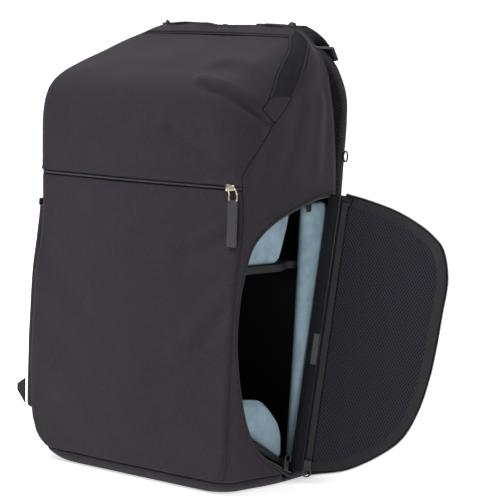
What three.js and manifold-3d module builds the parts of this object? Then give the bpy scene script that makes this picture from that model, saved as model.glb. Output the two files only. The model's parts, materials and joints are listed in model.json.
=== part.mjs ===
// Camera backpack with an open side door, millimetres, +Z up.
// Front panel towards -Y, shoulder straps towards +Y, camera door on the +X side.
// The origin is on the floor under the middle of the flat base.

import * as THREE from 'three';
import { mergeVertices } from 'three/addons/utils/BufferGeometryUtils.js';
import Module from 'manifold-3d';

const wasm = await Module();
wasm.setup();

// Driving dimensions of the body
const bodyWidth = 304;
const bodyDepth = 188;
const bodyHeight = 504;

// Walls and seams
const frontWall = 3;
const sideWall = 6;
const backWall = 8;
const baseWall = 6;
const topWall = 3;
const seamGap = 0.4;
const seat = 0.3;
const baseSeamHeight = 14;
const frontSeamInset = 3;
const rearSeamInset = 9;
const yokeHalfWidth = 96;

// Front and top zips
const frontZipHeight = 332;
const frontZipWidth = 7;
const zipRecess = 1.2;
const zipTapeThickness = 1.6;
const garageShare = 0.849;

// Slider, bail and pull tab on the front zip
const sliderX = 136.5;
const sliderLength = 12;
const sliderHeight = 8;
const sliderDepth = 6.5;
const bailWidth = 13;
const bailLength = 8;
const bailWire = 1.8;
const pullOffset = 7;
const pullTabWidth = 13;
const pullTabLength = 50;
const pullTabThickness = 2.6;

// Door opening and door
const openingHeight = 322;
const openingReach = 138;
const hingeFoot = 7;
const hingeFootY = 18;
const hingeLean = 10;
const openingBinding = 3.5;
const doorHeight = 318;
const doorReach = 132;
const doorThickness = 6;
const doorRoot = 4;
const doorAngle = 123;
const doorBandWidth = 11;
const doorBandThickness = 1.2;
const doorMeshThickness = 2.4;
const doorCoilRadius = 1.8;

// Padded camera insert
const insertWall = 8;
const insertFlap = 10;
const rearPadWidth = 14;
const rearPadFront = 38;
const rearPadLean = 16;
const rearPadTop = 312;
const shelfHeight = 238;
const floorThickness = 8;
const insertMargin = 4;

// Back padding and straps
const backPadWidth = 176;
const backPadThickness = 12;
const backPadBottom = 66;
const backPadDrop = 64;
const backChannelWidth = 16;
const strapWidth = 62;
const strapThickness = 12;
const strapSpread = 72;
const webbingWidth = 25;
const webbingThickness = 1.8;
const buckleLength = 30;
const buckleThickness = 6;
const lifterWidth = 20;
const loopWidth = 12;

// Grab handle
const handleWidth = 24;
const handleThickness = 3;
const handleSpan = 122;
const handleDrop = 8;
const handleStandOff = 6.5;
const handleTilt = 60;
const handleTabLength = 26;

// Side pocket on the left
const pocketTop = 292;
const pocketBottom = 58;
const pocketInset = 1;
const pocketRear = 58;
const pocketStandOff = 9.5;
const pocketWall = 2;
const pocketBindingHeight = 8;

const halfWidth = bodyWidth / 2;

// Body sections from the floor up. height is a share of bodyHeight, front and back of bodyDepth,
// left and right of half the width, and the corner radii and crown of bodyDepth.
const columns = [
  'height', 'front', 'back', 'left', 'right', 'cornerLeft', 'cornerRight', 'cornerBack', 'crown',
];
const sectionTable = [
  [0.000, -0.425, 0.394, 0.770, 0.87, 0.160, 0.150, 0.140, 0.000],
  [0.006, -0.463, 0.426, 0.830, 0.92, 0.150, 0.140, 0.128, 0.000],
  [0.024, -0.495, 0.447, 0.900, 0.97, 0.117, 0.110, 0.106, 0.005],
  [0.065, -0.513, 0.457, 0.985, 0.99, 0.064, 0.058, 0.096, 0.012],
  [0.131, -0.529, 0.463, 1.007, 1.00, 0.048, 0.036, 0.085, 0.020],
  [0.200, -0.529, 0.463, 1.010, 1.00, 0.043, 0.032, 0.085, 0.026],
  [0.320, -0.521, 0.463, 1.013, 1.00, 0.043, 0.032, 0.085, 0.034],
  [0.430, -0.505, 0.463, 1.013, 1.00, 0.043, 0.032, 0.085, 0.036],
  [0.520, -0.473, 0.463, 1.007, 1.00, 0.043, 0.034, 0.085, 0.036],
  [0.595, -0.447, 0.463, 1.020, 0.995, 0.040, 0.040, 0.085, 0.034],
  [0.658, -0.447, 0.460, 1.028, 0.993, 0.040, 0.050, 0.085, 0.034],
  [0.690, -0.452, 0.455, 1.035, 0.993, 0.050, 0.096, 0.085, 0.034],
  [0.730, -0.457, 0.447, 1.043, 0.99, 0.060, 0.160, 0.085, 0.030],
  [0.775, -0.460, 0.436, 1.045, 0.985, 0.070, 0.225, 0.085, 0.026],
  [0.815, -0.457, 0.425, 1.043, 0.98, 0.080, 0.265, 0.085, 0.022],
  [0.845, -0.439, 0.415, 1.040, 0.97, 0.085, 0.290, 0.085, 0.020],
  [0.865, -0.399, 0.410, 1.038, 0.96, 0.090, 0.295, 0.085, 0.020],
  [0.885, -0.325, 0.405, 1.030, 0.95, 0.100, 0.280, 0.080, 0.022],
  [0.908, -0.200, 0.397, 1.015, 0.93, 0.115, 0.240, 0.075, 0.024],
  [0.932, -0.066, 0.388, 0.960, 0.895, 0.120, 0.185, 0.070, 0.026],
  [0.955, 0.064, 0.383, 0.885, 0.84, 0.105, 0.120, 0.065, 0.020],
  [0.976, 0.175, 0.378, 0.775, 0.77, 0.064, 0.064, 0.060, 0.010],
  [0.990, 0.238, 0.372, 0.69, 0.70, 0.040, 0.040, 0.040, 0.004],
  [1.000, 0.285, 0.362, 0.61, 0.61, 0.026, 0.026, 0.026, 0.000],
];
const sideCrown = 0.012;
const cornerSteps = 4;
const frontSteps = 8;
const flankSteps = 3;

const sections = sectionTable.map((row) => Object.fromEntries(columns.map((name, i) => [name, row[i]])));

// One body section in millimetres at a height, between two rows of the table
function sectionAt(z) {
  const share = THREE.MathUtils.clamp(z / bodyHeight, 0, 1);
  let i = 0;
  while (i < sections.length - 2 && sections[i + 1].height < share) i += 1;
  const low = sections[i];
  const high = sections[i + 1];
  const t = (share - low.height) / (high.height - low.height);
  const mix = (name) => THREE.MathUtils.lerp(low[name], high[name], t);
  return {
    front: mix('front') * bodyDepth,
    back: mix('back') * bodyDepth,
    left: mix('left') * halfWidth,
    right: mix('right') * halfWidth,
    cornerLeft: mix('cornerLeft') * bodyDepth,
    cornerRight: mix('cornerRight') * bodyDepth,
    cornerBack: mix('cornerBack') * bodyDepth,
    crown: mix('crown') * bodyDepth,
    slope: ((high.front - low.front) * bodyDepth) / ((high.height - low.height) * bodyHeight),
  };
}

const frontAt = (z) => sectionAt(z).front;
const backAt = (z) => sectionAt(z).back;

// One ring of the body, grown outwards by the given amounts or shrunk where they are negative
function bodyRing(row, grow) {
  const z = row.height * bodyHeight;
  const s = sectionAt(z);
  const before = sectionAt(z - 1).slope;
  const slope = (before + sectionAt(z + 1).slope) / 2;
  const rise = slope / Math.hypot(1, slope);
  const level = 1 / Math.hypot(1, slope);
  const lift = rise > 0 ? grow.top * rise : grow.base * rise;
  const ends = row === sections[0] ? -grow.base : grow.top;
  const atEnd = row === sections[0] || row === sections[sections.length - 1];
  const height = z + (atEnd ? ends : lift);
  const front = s.front - grow.front * level;
  const back = s.back + grow.back;
  const left = s.left + grow.side;
  const right = s.right + grow.side;
  const limit = (back - front) / 2 - 0.5;
  const radius = (r) => THREE.MathUtils.clamp(r + grow.side, 1.2, limit);
  const corners = [
    [right, front, radius(s.cornerRight), -90],
    [right, back, radius(s.cornerBack), 0],
    [-left, back, radius(s.cornerBack), 90],
    [-left, front, radius(s.cornerLeft), 180],
  ];
  const points = [];
  const steps = [flankSteps, frontSteps / 4, flankSteps, frontSteps];
  corners.forEach(([x, y, r, start], i) => {
    const cx = x - Math.sign(x) * r;
    const cy = y - (y === front ? -1 : 1) * r;
    for (let k = 0; k <= cornerSteps; k += 1) {
      const a = THREE.MathUtils.degToRad(start + (90 * k) / cornerSteps);
      points.push(new THREE.Vector3(cx + r * Math.cos(a), cy + r * Math.sin(a), height));
    }
    const [nx, ny, nr] = corners[(i + 1) % 4];
    const last = points[points.length - 1];
    const side = i % 2 === 0;
    const next = side
      ? new THREE.Vector3(nx, ny + (ny === front ? nr : -nr), height)
      : new THREE.Vector3(nx - Math.sign(nx) * nr, ny, height);
    for (let k = 1; k < steps[i]; k += 1) {
      const t = k / steps[i];
      const p = last.clone().lerp(next, t);
      const bulge = 4 * t * (1 - t);
      if (side) p.x += Math.sign(p.x) * bulge * sideCrown * bodyWidth;
      if (i === 3) p.y -= bulge * s.crown;
      points.push(p);
    }
  });
  return points;
}

// Closed solid through rings with the same number of points, capped at both ends or joined in a loop
function loft(rings, looped = false) {
  const n = rings[0].length;
  const positions = [];
  const index = [];
  rings.forEach((ring) => ring.forEach((p) => positions.push(p.x, p.y, p.z)));
  const spans = looped ? rings.length : rings.length - 1;
  for (let i = 0; i < spans; i += 1) {
    const j = (i + 1) % rings.length;
    for (let k = 0; k < n; k += 1) {
      const m = (k + 1) % n;
      const a = i * n + k;
      const b = i * n + m;
      const c = j * n + m;
      const d = j * n + k;
      index.push(a, b, c, a, c, d);
    }
  }
  if (!looped) {
    [0, rings.length - 1].forEach((i) => {
      const middle = new THREE.Vector3();
      rings[i].forEach((p) => middle.addScaledVector(p, 1 / n));
      const centre = positions.length / 3;
      positions.push(middle.x, middle.y, middle.z);
      for (let k = 0; k < n; k += 1) {
        const a = i * n + k;
        const b = i * n + ((k + 1) % n);
        if (i === 0) index.push(centre, b, a);
        else index.push(centre, a, b);
      }
    });
  }
  const geometry = new THREE.BufferGeometry();
  geometry.setAttribute('position', new THREE.Float32BufferAttribute(positions, 3));
  geometry.setIndex(index);
  return geometry;
}

// A closed mesh as a solid for adding, cutting and crossing
function solid(geometry) {
  const bare = geometry.clone();
  bare.deleteAttribute('normal');
  bare.deleteAttribute('uv');
  const merged = mergeVertices(bare, 1e-4);
  const mesh = new wasm.Mesh({
    numProp: 3,
    vertProperties: new Float32Array(merged.attributes.position.array),
    triVerts: new Uint32Array(merged.index.array),
  });
  return new wasm.Manifold(mesh);
}

function geometryOf(body) {
  const mesh = body.getMesh();
  const geometry = new THREE.BufferGeometry();
  geometry.setAttribute('position', new THREE.BufferAttribute(new Float32Array(mesh.vertProperties), 3));
  geometry.setIndex(new THREE.BufferAttribute(new Uint32Array(mesh.triVerts), 1));
  geometry.computeVertexNormals();
  return geometry;
}

const grown = (d) => ({ front: d, side: d, back: d, base: d, top: d });
const bodySolid = (grow) => solid(loft(sections.map((row) => bodyRing(row, grow))));

// Outlines are lists of [a, b]; each slab stands along one axis
function shapeOf(points) {
  return new THREE.Shape(points.map(([a, b]) => new THREE.Vector2(a, b)));
}

function slab(points, from, to, axes) {
  const geometry = new THREE.ExtrudeGeometry(shapeOf(points), { depth: to - from, bevelEnabled: false });
  geometry.translate(0, 0, from);
  geometry.applyMatrix4(new THREE.Matrix4().makeBasis(...axes));
  return solid(geometry);
}

const X = new THREE.Vector3(1, 0, 0);
const Y = new THREE.Vector3(0, 1, 0);
const Z = new THREE.Vector3(0, 0, 1);
const slabX = (points, from, to) => slab(points, from, to, [Y, Z, X]);
const slabY = (points, from, to) => slab(points, from, to, [Z, X, Y]);
const slabZ = (points, from, to) => slab(points, from, to, [X, Y, Z]);
const rectangle = (a0, a1, b0, b1) => [[a0, b0], [a1, b0], [a1, b1], [a0, b1]];
const block = (x0, x1, y0, y1, z0, z1) => slabX(rectangle(y0, y1, z0, z1), x0, x1);

function smooth(points, count) {
  const curve = new THREE.SplineCurve(points.map(([a, b]) => new THREE.Vector2(a, b)));
  return curve.getPoints(count).map((p) => [p.x, p.y]);
}

// How far a point lies from a closed outline
function outlineDistance(points, [x, y]) {
  const p = new THREE.Vector3(x, y, 0);
  const edge = new THREE.Line3();
  const near = new THREE.Vector3();
  return Math.min(...points.map((q, i) => {
    const r = points[(i + 1) % points.length];
    edge.set(new THREE.Vector3(q[0], q[1], 0), new THREE.Vector3(r[0], r[1], 0));
    return edge.closestPointToPoint(p, true, near).distanceTo(p);
  }));
}

// An outline moved inwards by a distance, or outwards where it is negative, without its crossed corners
function insetOutline(points, distance) {
  const area = THREE.ShapeUtils.area(points.map(([a, b]) => new THREE.Vector2(a, b)));
  const signed = area > 0 ? distance : -distance;
  const moved = points.map((p, i) => {
    const a = points[(i + points.length - 1) % points.length];
    const b = points[(i + 1) % points.length];
    const before = new THREE.Vector2(p[0] - a[0], p[1] - a[1]).normalize();
    const after = new THREE.Vector2(b[0] - p[0], b[1] - p[1]).normalize();
    const normal = new THREE.Vector2(-before.y - after.y, before.x + after.x).normalize();
    const turn = Math.max(0.5, normal.x * -before.y + normal.y * before.x);
    return [p[0] + (normal.x * signed) / turn, p[1] + (normal.y * signed) / turn];
  });
  return moved.filter((p) => outlineDistance(points, p) > Math.abs(distance) * 0.97);
}

// Seam lines seen from the side: how far back a seam lies at each height.
// height is a share of bodyHeight and reach a share of bodyDepth.
const lidSeamTable = [
  [0.666, -0.430], [0.683, -0.425], [0.710, -0.383], [0.796, -0.170], [0.824, -0.271], [0.857, -0.175],
  [0.891, -0.112], [0.921, -0.016], [0.948, 0.090], [0.976, 0.186], [1.050, 0.215],
];
const zipRearTable = [
  [0.666, -0.430], [0.683, -0.425], [0.710, -0.383], [0.796, -0.170], [0.839, -0.053], [0.873, 0.027],
  [0.913, 0.117], [0.938, 0.181], [0.962, 0.250], [0.986, 0.277], [1.050, 0.287],
];

function seamCurve(table) {
  return (z) => {
    const share = z / bodyHeight;
    let i = 0;
    while (i < table.length - 2 && table[i + 1][0] < share) i += 1;
    const t = (share - table[i][0]) / (table[i + 1][0] - table[i][0]);
    return THREE.MathUtils.lerp(table[i][1], table[i + 1][1], t) * bodyDepth;
  };
}

const outside = bodyDepth * 2;
const frontSeam = (z) => frontAt(z) + frontSeamInset;
const lidSeam = seamCurve(lidSeamTable);
const zipRear = seamCurve(zipRearTable);
const rearSeam = (z) => backAt(z) - rearSeamInset;
const farFront = () => -outside;
const farBack = () => outside;
const seamStops = (table) => table.map(([share]) => share * bodyHeight);
const stops = [
  ...sections.map((s) => s.height * bodyHeight),
  ...seamStops(lidSeamTable),
  ...seamStops(zipRearTable),
];

// The space between two seam lines and two heights, right through from side to side
function between(seamA, seamB, z0, z1) {
  const heights = [z0, ...stops.filter((z) => z > z0 + 0.5 && z < z1 - 0.5), z1].sort((a, b) => a - b);
  const rear = heights.map((z) => [seamB(z) - seamGap / 2, z]);
  const front = heights.map((z) => [seamA(z) + seamGap / 2, z]).reverse();
  return slabX([...rear, ...front], -outside, outside);
}

const topLimit = bodyHeight * 1.05;
const garageTop = garageShare * bodyHeight;
const zipLow = frontZipHeight - frontZipWidth / 2;
const zipHigh = frontZipHeight + frontZipWidth / 2;
const shellWalls = { front: -frontWall, side: -sideWall, back: -backWall, base: -baseWall, top: -topWall };
const outerBody = bodySolid(grown(0));
const innerBody = bodySolid(shellWalls);
const innerClear = bodySolid({
  front: -frontWall - seat,
  side: -sideWall - seat,
  back: -backWall - seat,
  base: -baseWall - seat,
  top: -topWall - seat,
});
const shell = outerBody.subtract(innerBody);
const clearBody = bodySolid(grown(seat));
const tapeShell = bodySolid(grown(-zipRecess)).subtract(bodySolid(grown(-zipRecess - zipTapeThickness)));
const rightHalf = block(seamGap / 2, outside, -outside, outside, -outside, outside * 2);
const leftHalf = block(-outside, -seamGap / 2, -outside, outside, -outside, outside * 2);

// The opening in the right side: a straight hinge edge and a curved edge towards the front.
// along is a share of openingHeight up the hinge, out a share of openingReach.
const openingTable = [
  [0.000, 0.000], [0.003, 0.082], [0.025, 0.253], [0.048, 0.425], [0.096, 0.589], [0.161, 0.712],
  [0.239, 0.808], [0.342, 0.904], [0.447, 0.973], [0.559, 1.000], [0.640, 0.993], [0.745, 0.952],
  [0.814, 0.842], [0.873, 0.678], [0.925, 0.459], [0.969, 0.233], [1.000, 0.000],
];
const lean = THREE.MathUtils.degToRad(hingeLean);
const hingeUp = new THREE.Vector3(0, Math.sin(lean), Math.cos(lean));
const hingeOut = new THREE.Vector3(0, -Math.cos(lean), Math.sin(lean));
const hingeX = halfWidth + bodyWidth * sideCrown + 0.6;
const hingePoint = new THREE.Vector3(hingeX, hingeFootY, hingeFoot);
const onSide = ([along, out]) => [
  hingePoint.y + hingeUp.y * along + hingeOut.y * out,
  hingePoint.z + hingeUp.z * along + hingeOut.z * out,
];
const openingCurve = smooth(openingTable.map(([v, u]) => [v * openingHeight, u * openingReach]), 34);
const openingOutline = openingCurve.map(onSide).reverse();
const openingInner = insetOutline(openingOutline, openingBinding);
const sideReach = [halfWidth / 2, outside];
const openingCut = slabX(openingOutline, ...sideReach);

// Panels of the shell
const sideRegion = between(frontSeam, rearSeam, baseSeamHeight + seamGap, zipHigh)
  .add(between(zipRear, rearSeam, zipHigh, topLimit));
const yokeSlot = block(-yokeHalfWidth, yokeHalfWidth, -outside, outside, 0, topLimit);
const yokeCut = block(-yokeHalfWidth - seamGap, yokeHalfWidth + seamGap, -outside, outside, 0, topLimit);
const zipRegion = between(lidSeam, zipRear, garageTop, topLimit);
const garageRegion = between(lidSeam, zipRear, lidSeamTable[3][0] * bodyHeight + 1, garageTop - seamGap);
const sidePanels = shell.intersect(sideRegion).subtract(yokeCut);

const basePanel = shell.intersect(block(-outside, outside, -outside, outside, -1, baseSeamHeight))
  .subtract(openingCut);
const frontPanel = shell.intersect(between(farFront, frontSeam, baseSeamHeight + seamGap, zipLow));
const topPanel = shell.intersect(between(farFront, lidSeam, zipHigh, topLimit));
const sidePanelRight = sidePanels.intersect(rightHalf).subtract(openingCut);
const sidePanelLeft = sidePanels.intersect(leftHalf);
const topYoke = shell.intersect(sideRegion).intersect(yokeSlot);
const backShell = shell.intersect(between(rearSeam, farBack, baseSeamHeight + seamGap, topLimit));
const frontTape = tapeShell.intersect(between(farFront, frontSeam, zipLow + seamGap, zipHigh - seamGap));
const topTape = tapeShell.intersect(zipRegion);
const garages = shell.intersect(garageRegion);

// Binding round the curved edge of the opening
const bindingProud = 0.8;
const bindingShell = bodySolid(grown(bindingProud)).subtract(bodySolid(grown(-sideWall - bindingProud)));
const bindingRing = slabX(insetOutline(openingOutline, seat), ...sideReach)
  .subtract(slabX(openingInner, ...sideReach));
const hingeMargin = 4;
const hingeZoneOut = doorRoot + hingeMargin / 2;
const hingeZone = rectangle(-hingeMargin, openingHeight + hingeMargin, -hingeMargin, hingeZoneOut);
const hingeStrip = slabX(hingeZone.map(onSide).reverse(), ...sideReach);
const openingBindingSolid = bindingShell.intersect(bindingRing).subtract(hingeStrip);

// Strip of webbing or padding along a path. Each stop is [x, y, z]; widths may vary along it.
function strip(path, widths, thickness, edge = 0.25) {
  const points = path.map(([x, y, z]) => new THREE.Vector3(x, y, z));
  const rings = points.map((p, i) => {
    const a = points[Math.max(0, i - 1)];
    const b = points[Math.min(points.length - 1, i + 1)];
    const tangent = b.clone().sub(a).normalize();
    const across = X.clone().addScaledVector(tangent, -X.dot(tangent)).normalize();
    const normal = new THREE.Vector3().crossVectors(tangent, across).normalize();
    const w = (Array.isArray(widths) ? widths[i] : widths) / 2;
    const t = thickness / 2;
    const soft = Math.min(thickness * edge, w * 0.5);
    const corners = [
      [w, -t + soft], [w, t - soft], [w - soft * 2, t], [-w + soft * 2, t],
      [-w, t - soft], [-w, -t + soft], [-w + soft * 2, -t], [w - soft * 2, -t],
    ];
    return corners.map(([u, v]) => p.clone().addScaledVector(across, u).addScaledVector(normal, v));
  });
  return solid(loft(rings));
}

function curvePath(points, count) {
  const places = points.map(([x, y, z]) => new THREE.Vector3(x, y, z));
  const curve = new THREE.CatmullRomCurve3(places, false, 'centripetal');
  return curve.getPoints(count).map((p) => [p.x, p.y, p.z]);
}

// Wire along a flat path whose plane has the given normal, closed into a loop or capped
function wire(points, radius, sides, normal, looped) {
  const n = points.length;
  const rings = points.map((p, i) => {
    const a = looped ? points[(i + n - 1) % n] : points[Math.max(0, i - 1)];
    const b = looped ? points[(i + 1) % n] : points[Math.min(n - 1, i + 1)];
    const tangent = b.clone().sub(a).normalize();
    const inwards = new THREE.Vector3().crossVectors(tangent, normal);
    return Array.from({ length: sides }, (_, k) => {
      const angle = (2 * Math.PI * k) / sides;
      return p.clone()
        .addScaledVector(normal, radius * Math.cos(angle))
        .addScaledVector(inwards, radius * Math.sin(angle));
    });
  });
  return loft(rings, looped);
}

// Front zip slider, bail and pull tab
const sliderFace = frontAt(frontZipHeight) - bodyDepth * 0.004;
const slider = block(
  sliderX - sliderLength / 2,
  sliderX + sliderLength / 2,
  sliderFace - sliderDepth,
  sliderFace + zipRecess,
  frontZipHeight - sliderHeight / 2,
  frontZipHeight + sliderHeight / 2,
).subtract(clearBody);
const bailTop = frontZipHeight - sliderHeight / 2 - seat;
const tabTop = bailTop - bailLength - seat;
const bailMiddle = frontAt(tabTop - pullTabLength) - 1 - pullTabThickness / 2;
const pullX = sliderX + pullOffset;
const bailOuter = rectangle(pullX - bailWidth / 2, pullX + bailWidth / 2, bailTop - bailLength, bailTop);
const bailInner = insetOutline(bailOuter, bailWire);
const asSlabY = (points) => points.map(([x, z]) => [z, x]);
const bail = slabY(asSlabY(bailOuter).reverse(), bailMiddle - bailWire / 2, bailMiddle + bailWire / 2)
  .subtract(slabY(asSlabY(bailInner).reverse(), bailMiddle - bailWire, bailMiddle + bailWire));
const pullTab = block(
  pullX - pullTabWidth / 2,
  pullX + pullTabWidth / 2,
  bailMiddle - pullTabThickness / 2,
  bailMiddle + pullTabThickness / 2,
  tabTop - pullTabLength,
  tabTop,
).subtract(clearBody);

// Door in its own frame: x along the hinge, y out from it, z through the door from outer face to inner face
const doorTable = [
  [1.000, 0.071], [0.987, 0.271], [0.965, 0.500], [0.931, 0.700], [0.896, 0.836], [0.852, 0.936],
  [0.755, 1.000], [0.629, 0.993], [0.516, 0.984], [0.415, 0.964], [0.302, 0.914], [0.204, 0.821],
  [0.135, 0.664], [0.066, 0.407], [0.035, 0.157], [0.028, 0.079],
];
const doorCurve = smooth(doorTable.map(([v, u]) => [v * doorHeight, u * doorReach]), 36);
const doorOutline = [
  [doorTable[doorTable.length - 1][0] * doorHeight, doorRoot],
  [doorHeight, doorRoot],
  ...doorCurve,
];
const doorTurn = THREE.MathUtils.degToRad(doorAngle);
const doorOut = hingeOut.clone().multiplyScalar(Math.cos(doorTurn)).addScaledVector(X, Math.sin(doorTurn));
const doorFace = new THREE.Vector3().crossVectors(hingeUp, doorOut);
const doorFrame = new THREE.Matrix4().makeBasis(hingeUp, doorOut, doorFace).setPosition(hingePoint);
const doorLayer = (points, depth, thickness) => {
  const geometry = new THREE.ExtrudeGeometry(shapeOf(points), { depth: thickness, bevelEnabled: false });
  return solid(geometry.translate(0, 0, -depth - thickness));
};
const doorInner = doorThickness + seat;
const doorBandInner = insetOutline(doorOutline, doorBandWidth);
const doorBandRing = doorLayer(insetOutline(doorOutline, 0.5), doorInner, doorBandThickness)
  .subtract(doorLayer(doorBandInner, doorInner - 1, doorBandThickness + 2));
const doorPocketOutline = insetOutline(doorBandInner, seat);
const coilPoints = insetOutline(doorOutline, -doorCoilRadius - seat).slice(2)
  .map(([v, u]) => new THREE.Vector3(v, u, -doorThickness / 2));

// Folded strip along the hinge, between the cut edge of the side panel and the root of the door.
// Its section has x across the bag and y forwards from the hinge.
const hingeCorner = (out, inwards) => [
  doorOut.x * out - doorFace.x * inwards,
  doorOut.dot(hingeOut) * out - doorFace.dot(hingeOut) * inwards,
];
const rootGap = doorRoot - seat;
const panelInner = hingeX - halfWidth + sideWall;
const hingeSection = [
  [-panelInner, seat],
  [-1.4, seat],
  hingeCorner(rootGap, -0.2),
  hingeCorner(rootGap, doorThickness + doorBandThickness),
  [-2, doorRoot + 0.6],
  [-panelInner, doorRoot - 0.6],
];
const doorFoot = doorTable[doorTable.length - 1][0] * doorHeight;
const hingeFrame = new THREE.Matrix4().makeBasis(X, hingeOut, hingeUp.clone().negate())
  .setPosition(hingePoint.clone().addScaledVector(hingeUp, doorHeight));
const hingeTape = new THREE.ExtrudeGeometry(shapeOf(hingeSection), {
  depth: doorHeight - doorFoot,
  bevelEnabled: false,
}).applyMatrix4(hingeFrame);

// Small plain tab sewn flat on the hinge strip
const hingeLabelHeight = 34;
const hingeLabelWidth = 7;
const hingeLabelFoot = 128;
const labelRoot = new THREE.Vector2(...hingeSection[3]);
const labelRun = new THREE.Vector2(...hingeSection[4]).sub(labelRoot).normalize();
const labelOut = new THREE.Vector2(-labelRun.y, labelRun.x).multiplyScalar(-1);
const labelCorner = (run, out) => [
  labelRoot.x + labelRun.x * run + labelOut.x * out,
  labelRoot.y + labelRun.y * run + labelOut.y * out,
];
const labelSide = labelOut.y > 0 ? 1 : -1;
const labelEdge = 1;
const labelThickness = 0.8;
const labelSection = [
  labelCorner(labelEdge, labelSide * seat),
  labelCorner(labelEdge + hingeLabelWidth, labelSide * seat),
  labelCorner(labelEdge + hingeLabelWidth, labelSide * (seat + labelThickness)),
  labelCorner(labelEdge, labelSide * (seat + labelThickness)),
];
const labelShape = shapeOf(labelSection);
const hingeLabel = new THREE.ExtrudeGeometry(labelShape, { depth: hingeLabelHeight, bevelEnabled: false })
  .translate(0, 0, doorHeight - hingeLabelFoot - hingeLabelHeight)
  .applyMatrix4(hingeFrame);

// Door zip slider with its ring, lengthwise along x and ringed on its +Z face
const doorSliderLength = 11;
const doorSliderWidth = 8;
const doorSliderDepth = 4.5;
const doorSliderStandOff = 8;
const ringRadius = 4.6;
const ringWire = 0.9;
const ringSteps = 12;
function doorSlider(frame, at) {
  const circle = Array.from({ length: ringSteps }, (_, k) => {
    const a = (2 * Math.PI * k) / ringSteps;
    return new THREE.Vector3(
      doorSliderLength / 2 + ringRadius * (0.5 + Math.cos(a)),
      ringRadius * Math.sin(a),
      doorSliderDepth / 2 + ringWire * 0.4,
    );
  });
  const both = solid(new THREE.BoxGeometry(doorSliderLength, doorSliderWidth, doorSliderDepth))
    .add(solid(wire(circle, ringWire, 6, Z, true)));
  return solid(geometryOf(both).applyMatrix4(frame.clone().setPosition(...at)));
}
const upperSliderUp = 13.4;
const upperSliderOut = 17;
const upperSliderAt = onSide([upperSliderUp, upperSliderOut]);
const upperSlider = doorSlider(
  new THREE.Matrix4().makeBasis(hingeUp, hingeOut, X),
  [halfWidth - doorSliderDepth / 2, ...upperSliderAt],
).intersect(slabX(insetOutline(openingInner, seat), ...sideReach));
const lowerSlider = doorSlider(
  new THREE.Matrix4().makeBasis(X.clone().negate(), Y, Z.clone().negate()),
  [doorFoot + doorSliderStandOff, doorRoot + 6, -(doorInner + doorBandThickness + seat + doorSliderDepth / 2)],
);

// Padded camera insert, cut to the inside of the body
const insertLeft = -halfWidth + sideWall + insertMargin;
const flapSetBack = 3;
const rearPadOuter = halfWidth - sideWall - insertMargin;
const flapOuter = rearPadOuter - flapSetBack;
const rearPadCorner = 14;
const rearPadBottom = hingeFoot + floorThickness + 3;
const rearPadOutline = [
  [rearPadFront - rearPadLean, rearPadBottom],
  [bodyDepth / 2, rearPadBottom],
  [bodyDepth / 2, rearPadTop],
  [rearPadFront + rearPadCorner + 8, rearPadTop],
  [rearPadFront + rearPadCorner * 0.3, rearPadTop - rearPadCorner * 0.4],
  [rearPadFront, rearPadTop - rearPadCorner * 1.4],
  [rearPadFront - rearPadLean / 8, rearPadTop / 2],
];
// The floor of the insert slopes back from the front wall: reach is a share of bodyDepth, level of bodyHeight
const floorLine = [[-0.55, 0.176], [-0.33, 0.131], [0.066, 0.052], [0.55, 0.047]];
const floorTop = floorLine.map(([y, z]) => [y * bodyDepth, z * bodyHeight]);
const floorUnder = floorTop.map(([y, z]) => [y, z - floorThickness]).reverse();
const aboveFloorLine = floorTop.map(([y, z]) => [y, z + seat]);
const aboveFloor = slabX([[-outside, topLimit], ...aboveFloorLine, [outside, topLimit]], -outside, outside);
const rearPad = slabX(rearPadOutline, rearPadOuter - rearPadWidth, rearPadOuter)
  .intersect(innerClear).intersect(aboveFloor);
const insertFloor = slabX([...floorTop, ...floorUnder], insertLeft, rearPadOuter).intersect(innerClear);
const shelfNotchX = rearPadOuter - rearPadWidth - seat;
const shelfOutline = [
  [insertLeft, -outside],
  [rearPadOuter, -outside],
  [rearPadOuter, -4],
  [shelfNotchX, rearPadFront - rearPadLean],
  [shelfNotchX, outside],
  [insertLeft, outside],
];
const shelf = slabZ(shelfOutline, shelfHeight, shelfHeight + insertWall).intersect(innerClear);

// Curved flaps on the shelf and on the floor: reach a share of bodyDepth, level of bodyHeight,
// counted from the top of the shelf for the upper flap
const upperFlapTable = [
  [-0.420, 0.000], [-0.021, 0.000], [0.016, 0.037], [0.058, 0.081], [0.074, 0.116], [-0.080, 0.116],
  [-0.260, 0.072],
];
const lowerFlapTable = [
  [-0.480, 0.168], [-0.372, 0.202], [-0.138, 0.194], [-0.053, 0.169], [0.027, 0.137], [0.058, 0.109],
  [0.062, 0.053],
];
const flapPoints = (table, foot) => table.map(([y, z]) => [y * bodyDepth, foot + z * bodyHeight]);
const shelfTop = shelfHeight + insertWall + seat;
const upperFlap = slabX(flapPoints(upperFlapTable, shelfTop), flapOuter - insertFlap, flapOuter)
  .intersect(innerClear);
const lowerFlap = slabX(flapPoints(lowerFlapTable, 0), flapOuter - insertFlap, flapOuter)
  .intersect(innerClear).intersect(aboveFloor);

// Webbing tab at the top of the opening
const topTabDrop = 12;
const topTabWidth = 7;
const topTabThickness = 3;
const topTabTop = 313;
const topTab = block(
  rearPadOuter + seat,
  rearPadOuter + seat + topTabThickness,
  rearPadFront - topTabWidth / 2,
  rearPadFront + topTabWidth / 2,
  topTabTop - topTabDrop,
  topTabTop,
).intersect(innerClear);

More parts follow.
